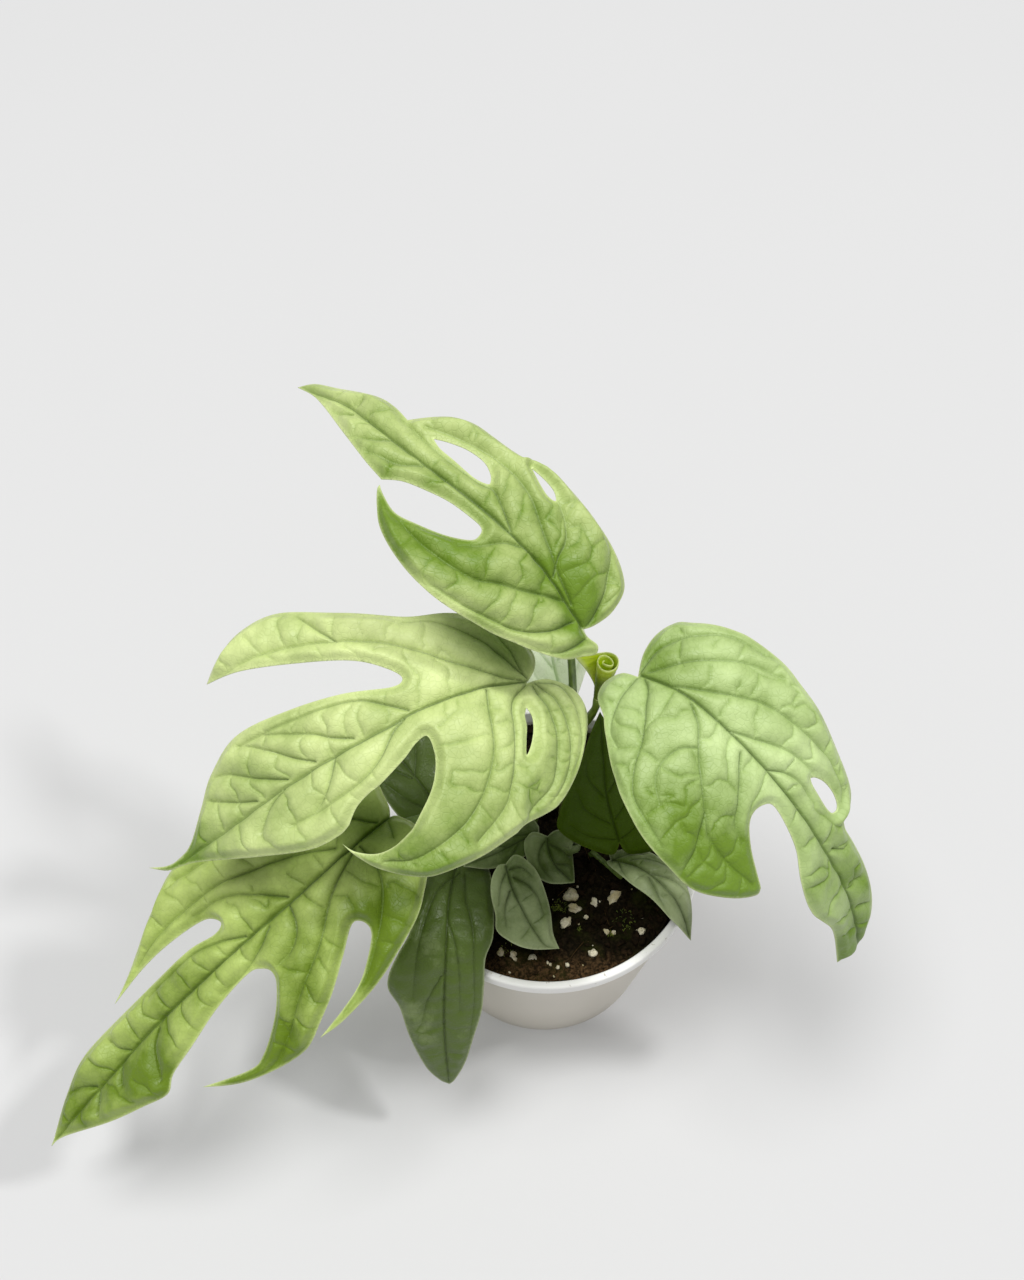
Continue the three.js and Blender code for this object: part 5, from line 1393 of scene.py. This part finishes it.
def makePot(material):
    # the wall and lip are a closed profile turned about the upright axis; the floor is a flat plate
    # with round holes
    steps = pot["roundSteps"]
    wallTop = pot["rimRadius"] - pot["lipReach"]
    lipBottom = pot["height"] - pot["lipHeight"]
    innerTop = wallTop - pot["wall"]
    innerFoot = pot["baseRadius"] - pot["wall"]
    plate = innerFoot - pot["plateInset"]
    lip, rim, foot = pot["lipRound"], pot["rimRound"], pot["footRound"]
    flatReach = pot["baseRadius"] - foot
    profile = [(plate, 0), *[(plate + (flatReach - plate) * k / 3, 0) for k in (1, 2)]]
    profile += corner((flatReach, foot), foot, -90, 0, steps)
    lean = (wallTop - pot["baseRadius"]) / (lipBottom - foot)
    profile += [(pot["baseRadius"] + lean * rise, foot + rise) for rise in np.linspace(*pot["wallRows"])]
    profile += [(wallTop + out, lipBottom + up) for out, up in pot["underLip"]]
    profile += corner((pot["rimRadius"] - lip, lipBottom + lip), lip, -90, 0, steps)
    profile += corner((pot["rimRadius"] - rim, pot["height"] - rim), rim, 0, 90, steps)
    profile += corner((innerTop + rim, pot["height"] - rim), rim, 90, 180, steps)
    floor = pot["floor"]
    inside = (innerTop, innerFoot), (pot["height"] - rim, floor)
    profile += [(between(inside[0], k), between(inside[1], k))
                for k in np.linspace(0, 1, pot["innerRows"])[1:-1]]
    profile += [(innerFoot + out, floor + up) for out, up in pot["innerFoot"]]
    profile = np.array([*profile, (plate, floor)])
    angle = around(pot["sides"])
    turned = np.stack([profile[:, :1] * np.cos(angle), profile[:, :1] * np.sin(angle),
                       profile[:, 1:] + 0 * angle], -1).reshape(-1, 3)
    wallFaces = gridFaces(len(profile), pot["sides"], ringed=True)
    index, after = ringPairs(pot["sides"])
    last = (len(profile) - 1) * pot["sides"]
    closing = np.stack([last + index, last + after, after, index], -1)

    def circle(x, y, radius, count):
        turn = around(count)
        return np.stack([x + radius * np.cos(turn), y + radius * np.sin(turn)], -1)
    reach, turns = pot["drainCircle"], np.arange(pot["drainCount"]) * 2 * math.pi / pot["drainCount"]
    holes = [circle(reach * math.cos(a), reach * math.sin(a), pot["drainRadius"], pot["holeSides"])
             for a in turns]
    outline = circle(0, 0, plate + pot["plateOverlap"], pot["sides"])
    flat, faces, _, _ = fineLeaf([outline, *holes], [], [], pot["floorStep"], 1)
    level = np.ones((len(flat), 1))
    points = np.vstack([turned, np.hstack([flat, level * pot["floor"]]), np.hstack([flat, level * 0])])
    if volume(turned, [wallFaces, closing]) < 0:
        wallFaces, closing = wallFaces[:, ::-1], closing[:, ::-1]
    plateParts = [part + len(turned) for part in plateFaces(faces, len(flat))]
    makePiece("white_pot", points, [wallFaces, closing, *plateParts], material, "pot_plastic", ["pot"])


def potMaterial():
    material, tree, shader = startMaterial("whitePlastic")
    place = objectPlace(tree)
    broad = noise(tree, place, 22, 3)
    specks = noise(tree, place, 520, 2)
    height = put(tree, "SeparateXYZ", Vector=place).outputs["Z"]
    nearLip = ranged(tree, height, 0.07, 0.0745, 0.0, 0.5)
    # painted shade: the pot is white, but its wall below the lip is coloured a darker warm grey than the lip
    colour = coats(tree, srgb(206, 200, 187), (ranged(tree, broad, 0.3, 0.7), (213, 207, 195)),
                   (ranged(tree, height, 0.0744, 0.0756), (243, 242, 239)),
                   (times(tree, ranged(tree, specks, 0.66, 0.74), nearLip), (146, 128, 104)))
    dress(tree, shader, colour, ranged(tree, broad, 0.3, 0.7, 0.34, 0.44), 0.4)
    bump(tree, shader, noise(tree, place, 1400, 2), 0.12, 0.0002)
    return material


makePot(potMaterial())
print("pot ready")


# soil, perlite and moss

soil = {
    "top": 74, "roughness": 0.7, "edgeDip": 0.6, "edgeFrom": 0.93, "gap": 0.55, "bottomGap": 0.3,
    "crumbRise": 0.75, "sunk": 0.7, "swell": (0.35, 11),
    "rings": 125, "sides": 520,
    "crumbs": ((4.2, 0.75), (2.2, 0.8), (1.1, 0.8)),     # size and share of each size's height
}
perlite = {
    "seen": [(8, -16.6, 2.3), (22, -17.6, 2.1), (9, -21.6, 1.7), (6, -26.6, 1.8), (19, -29.6, 1.2),
             (30, -29.6, 1.4), (-15, -36.6, 1.3), (0, -40.6, 1.1)],
    "scattered": 9, "sizes": (1.2, 1.6), "reach": 42, "gap": 0.6, "stalkRoom": 7,
    "squash": (1.15, 0.9, 0.7), "turn": 1.3, "lift": 0.15, "out": 0.25, "seed": 4127, "sunk": 0.3,
    "detail": (9, 7, 3),      # of the large, small and tiny grains
    "tiny": 50, "tinySizes": (0.2, 0.45), "tinyReach": 46, "tinySquash": (1.2, 1, 0.8), "tinyLift": 0.3,
    "smallSquash": (1.1, 0.9, 0.8), "smallTurn": 1.1, "smallLift": 0.35,
    "small": [(-11.2, -37.3, 1.1), (3.2, -41.2, 0.7), (6.3, -41.0, 0.75), (12.6, -24.6, 0.8),
              (21.5, -29.6, 0.9)],
}


def soilHeight(x, y):
    # two crossing ripples, as in the solid
    return soil["top"] + soil["roughness"] * (np.sin(x * 0.43 + 1.1) * np.cos(y * 0.37)
                                              + 0.6 * np.sin(x * 0.21 - y * 0.52))


def soilCrumbs(x, y):
    # the solid's height, plus crumbs of three sizes, plus a soft swell
    crumbs = sum(share * lumps(x, y, size, 11 * k) for k, (size, share) in enumerate(soil["crumbs"]))
    swell, length = soil["swell"]
    return soilHeight(x, y) + crumbs * soil["crumbRise"] - soil["sunk"] + swell * ripples(x, y, length, 5)


def crumbTop(x, y):
    # how high the crumbs stand at one place
    return float(soilCrumbs(np.array([x]), np.array([y]))[0])


def anySpot(chance, reach):
    # a seeded place on the round soil, and how far it is from the middle
    away, angle = reach * math.sqrt(chance.uniform()), chance.uniform(0, 2 * math.pi)
    return away * math.cos(angle), away * math.sin(angle), away


def makeSoil(material):
    # rings of points from the middle to the pot's wall, raised by ripples and crumbs; a plain plug below
    wallTop = pot["rimRadius"] - pot["lipReach"] - pot["wall"]
    floorRadius = pot["baseRadius"] - pot["wall"] - soil["gap"]
    topRadius = floorRadius + (wallTop - soil["gap"] - floorRadius) * soil["top"] / pot["height"]
    share = np.linspace(0, 1, soil["rings"] + 1)[1:]
    angle = around(soil["sides"])
    radius = topRadius * share[:, None] + 0 * angle
    x, y = radius * np.cos(angle), radius * np.sin(angle)
    z = soilCrumbs(x, y) - soil["edgeDip"] * smoothStep(share, soil["edgeFrom"], 1)[:, None]
    top = np.stack([x, y, z], -1).reshape(-1, 3)
    bottom = pot["floor"] + soil["bottomGap"]
    foot = np.stack([floorRadius * np.cos(angle), floorRadius * np.sin(angle), 0 * angle + bottom], -1)
    count = len(top)
    crown = soilCrumbs(np.zeros(1), np.zeros(1))[0]
    points = np.vstack([top, foot, [[0, 0, crown], [0, 0, bottom]]])
    index, after = ringPairs(soil["sides"])
    outer = count - soil["sides"]
    middle = fan(count + soil["sides"], index, after)
    under = fan(count + soil["sides"] + 1, count + after, count + index)
    side = np.stack([outer + after, outer + index, count + index, count + after], -1)
    grid = gridFaces(soil["rings"], soil["sides"], ringed=True)[:, ::-1]
    makePiece("potting_mix", points, [grid, side, middle, under], material, "soil", ["soil"])


def ball(detail):
    # a round of points and faces: rings of latitude between two poles
    rows, columns = detail, 2 * detail
    polar = np.linspace(0, math.pi, rows + 2)[1:-1]
    angle = around(columns)
    ring = np.stack([np.sin(polar)[:, None] * np.cos(angle), np.sin(polar)[:, None] * np.sin(angle),
                     np.cos(polar)[:, None] + 0 * angle], -1).reshape(-1, 3)
    points = np.vstack([ring, [[0, 0, 1], [0, 0, -1]]])
    index, after = ringPairs(columns)
    last = (rows - 1) * columns
    caps = np.vstack([fan(rows * columns, index, after),
                      fan(rows * columns + 1, last + after, last + index)])
    return points, [gridFaces(rows, columns, ringed=True)[:, ::-1], caps]


def lumpy(detail, centre, size, turn, seed, roughness=0.22):
    # a ball pushed in and out by soft noise, turned about the upright axis and squashed
    points, faces = ball(detail)
    x, y, z = points.T
    swell = 1 + roughness * ripples(x * 3 + z, y * 3 - z * 2, 3.1, seed)
    points = points * swell[:, None] * np.array(size)
    c, s = math.cos(turn), math.sin(turn)
    points = points @ np.array([[c, s, 0], [-s, c, 0], [0, 0, 1]])
    return points + np.array(centre), faces


def gather(shapes):
    # many closed shapes as one piece
    points = np.vstack([shape[0] for shape in shapes])
    starts = np.cumsum([0] + [len(shape[0]) for shape in shapes[:-1]])
    return points, [part + start for shape, start in zip(shapes, starts) for part in shape[1]]


def makePerlite(material):
    # squashed lumps: the large grains where the solid has them, the small and tiny ones on the crumbs
    state = perlite["seed"]

    def draw():
        # the seeded numbers that placed the grains of the solid
        nonlocal state
        state = state * 16807 % 2147483647
        return state / 2147483647
    grains = list(perlite["seen"])
    feet = [leaf["stalk"]["foot"] for leaf in leaves.values() if "foot" in leaf["stalk"]]
    feet.append(stem["path"][0][:2])
    while len(grains) < len(perlite["seen"]) + perlite["scattered"]:
        away = perlite["reach"] * math.sqrt(draw())
        angle = 2 * math.pi * draw()
        radius = between(perlite["sizes"], draw())
        x, y = away * math.cos(angle), away * math.sin(angle)
        blocked = any(math.hypot(x - foot[0], y - foot[1]) < perlite["stalkRoom"] for foot in feet)
        crowded = any(math.hypot(x - g[0], y - g[1]) < radius + g[2] + perlite["gap"] for g in grains)
        if not blocked and not crowded:
            grains.append((x, y, radius))
    shapes = []
    large, small, tiny = perlite["detail"]
    for k, (x, y, radius) in enumerate(grains):
        sunk = 0 if k < len(perlite["seen"]) else perlite["sunk"] * radius
        height = float(soilHeight(x, y)) + radius * perlite["lift"] - sunk
        size = [radius * part for part in perlite["squash"]]
        place = (x, y, height + perlite["out"])
        shapes.append(lumpy(large, place, size, k * perlite["turn"], 300 + k))
    for k, (x, y, radius) in enumerate(perlite["small"]):
        size = [radius * part for part in perlite["smallSquash"]]
        place = (x, y, crumbTop(x, y) + radius * perlite["smallLift"])
        shapes.append(lumpy(small, place, size, k * perlite["smallTurn"], 500 + k))
    chance = np.random.default_rng(77)
    for k in range(perlite["tiny"]):
        x, y, _ = anySpot(chance, perlite["tinyReach"])
        radius = chance.uniform(*perlite["tinySizes"])
        size = [radius * part for part in perlite["tinySquash"]]
        place = (x, y, crumbTop(x, y) + radius * perlite["tinyLift"])
        shapes.append(lumpy(tiny, place, size, chance.uniform(0, 3), 600 + k))
    makePiece("perlite_grains", *gather(shapes), material, "soil")


bark = {
    "count": 330, "reach": 46.5, "sizes": (0.45, 1.5), "length": (1, 1.9), "squash": (0.85, 0.6),
    "sizePower": 1.2, "lift": 0.1, "detail": 3, "roughness": 0.28,
}


def makeBark(material):
    # many low lumps, longer than wide, spread evenly over the crumbs
    chance = np.random.default_rng(31)
    shapes = []
    for k in range(bark["count"]):
        x, y, _ = anySpot(chance, bark["reach"])
        radius = chance.uniform(*bark["sizes"]) ** bark["sizePower"]
        size = (radius * chance.uniform(*bark["length"]), *[radius * part for part in bark["squash"]])
        place = (x, y, crumbTop(x, y) + radius * bark["lift"])
        turn = chance.uniform(0, 3.1)
        shapes.append(lumpy(bark["detail"], place, size, turn, 900 + k, bark["roughness"]))
    makePiece("bark_crumbs", *gather(shapes), material, "soil")


def strand(start, reach, rise, turn, bend, radius, steps=6):
    # a thin fibre: a bowed line with a ring of four points at each step
    t = np.linspace(0, 1, steps)
    bow = bend * np.sin(math.pi * t)
    path = np.stack([start[0] + reach * t * math.cos(turn) - bow * math.sin(turn),
                     start[1] + reach * t * math.sin(turn) + bow * math.cos(turn),
                     start[2] + rise * np.sin(math.pi * t * 0.9)], -1)
    return sweep(path, radius * (1 - 0.5 * t), np.array([0.13, 0.21, 1.0]), 4)[:2]


fibres = {
    "count": 70, "reach": 42, "within": 46, "length": (3, 9), "rise": (0.1, 0.7), "turn": (0, 6.3),
    "bend": (-1.2, 1.2), "radius": (0.09, 0.2), "lift": 0.25,
}


def makeFibres(material):
    # thin bowed strands on the crumbs, cut short before they reach the pot's wall
    chance = np.random.default_rng(53)
    shapes = []
    for _ in range(fibres["count"]):
        x, y, away = anySpot(chance, fibres["reach"])
        reach = min(chance.uniform(*fibres["length"]), fibres["within"] - away)
        rest = [chance.uniform(*fibres[key]) for key in ("rise", "turn", "bend", "radius")]
        shapes.append(strand((x, y, crumbTop(x, y) + fibres["lift"]), reach, *rest))
    makePiece("peat_fibres", *gather(shapes), material, "soil")


moss = {
    "tufts": [(4, -21, 2.6, 50), (10.4, -28.3, 0.8, 9), (25, -25.5, 4, 34), (20.4, -30.2, 1.2, 14),
              (1, -33, 1.6, 16), (-13, -36, 2.4, 14), (17, 26, 3, 46), (-26, 18, 2.5, 40)],
    "length": (0.7, 1.7), "shorter": (1.1, 0.5),    # in the middle, and how much less at the edge
    "sunk": 0.15, "lean": 0.8, "bend": 0.1, "radius": 0.16, "steps": 4,
}


def makeMoss(material):
    # tufts of short strands that are tallest in the middle of each tuft
    chance = np.random.default_rng(19)
    middle, less = moss["shorter"]
    shapes = []
    for x, y, spread, count in moss["tufts"]:
        for _ in range(count):
            aside, along, away = anySpot(chance, spread)
            start = (x + aside, y + along, crumbTop(x + aside, y + along) - moss["sunk"])
            tall = chance.uniform(*moss["length"]) * (middle - less * away / spread)
            turn = chance.uniform(0, 6.3)
            look = moss["bend"], moss["radius"], moss["steps"]
            shapes.append(strand(start, tall * moss["lean"], tall, turn, *look))
    makePiece("moss_tufts", *gather(shapes), material, "soil")


def soilMaterial(name, dark, light, green):
    material, tree, shader = startMaterial(name)
    place = objectPlace(tree)
    broad = noise(tree, place, 60, 4)
    fine = noise(tree, place, 900, 5, 0.7)
    grains = cells(tree, place, 700, "F1")
    damp = times(tree, ranged(tree, broad, 0.5, 0.66), green)
    front = ranged(tree, put(tree, "SeparateXYZ", Vector=place).outputs["Y"], -0.044, -0.034, 1.0, 0.0)
    loose = times(tree, front, ranged(tree, fine, 0.4, 0.62, 0.1, 0.9))
    colour = coats(tree, srgb(*dark), (ranged(tree, fine, 0.35, 0.75), light),
                   (ranged(tree, grains, 0.1, 0.5, 0.5, 0.0), dark), (damp, (46, 52, 16)),
                   (loose, (92, 70, 46)))
    dress(tree, shader, colour, ranged(tree, broad, 0.3, 0.7, 0.75, 0.95), 0.04)
    bump(tree, shader, fine, 0.6, 0.0008)
    return material


def perliteMaterial():
    material, tree, shader = startMaterial("perliteChalk")
    place = objectPlace(tree)
    fine = noise(tree, place, 900, 4, 0.6)
    stain = noise(tree, place, 160, 3)
    colour = coats(tree, srgb(222, 214, 188), (ranged(tree, stain, 0.4, 0.66), (186, 172, 128)),
                   (ranged(tree, fine, 0.55, 0.75, 0.0, 0.6), (110, 96, 66)))
    dress(tree, shader, colour, 0.85)
    bump(tree, shader, maths(tree, "ADD", cells(tree, place, 1500, "F1"), fine), 0.7, 0.0005)
    return material


def mossMaterial():
    material, tree, shader = startMaterial("mossGreen")
    tone = noise(tree, objectPlace(tree), 300, 3)
    colour = coats(tree, srgb(66, 80, 16), (ranged(tree, tone, 0.35, 0.65), (116, 128, 36)))
    dress(tree, shader, colour, ranged(tree, tone, 0.3, 0.7, 0.6, 0.8))
    return material


makeSoil(soilMaterial("darkSoil", (14, 12, 6), (40, 32, 20), 0.6))
makeBark(soilMaterial("barkCrumb", (20, 15, 9), (46, 34, 22), 0.2))
makeFibres(soilMaterial("peatFibre", (48, 36, 20), (92, 72, 42), 0.1))
makePerlite(perliteMaterial())
makeMoss(mossMaterial())
print("soil, perlite and moss ready")


# the scene brought up to date

bpy.context.view_layer.update()
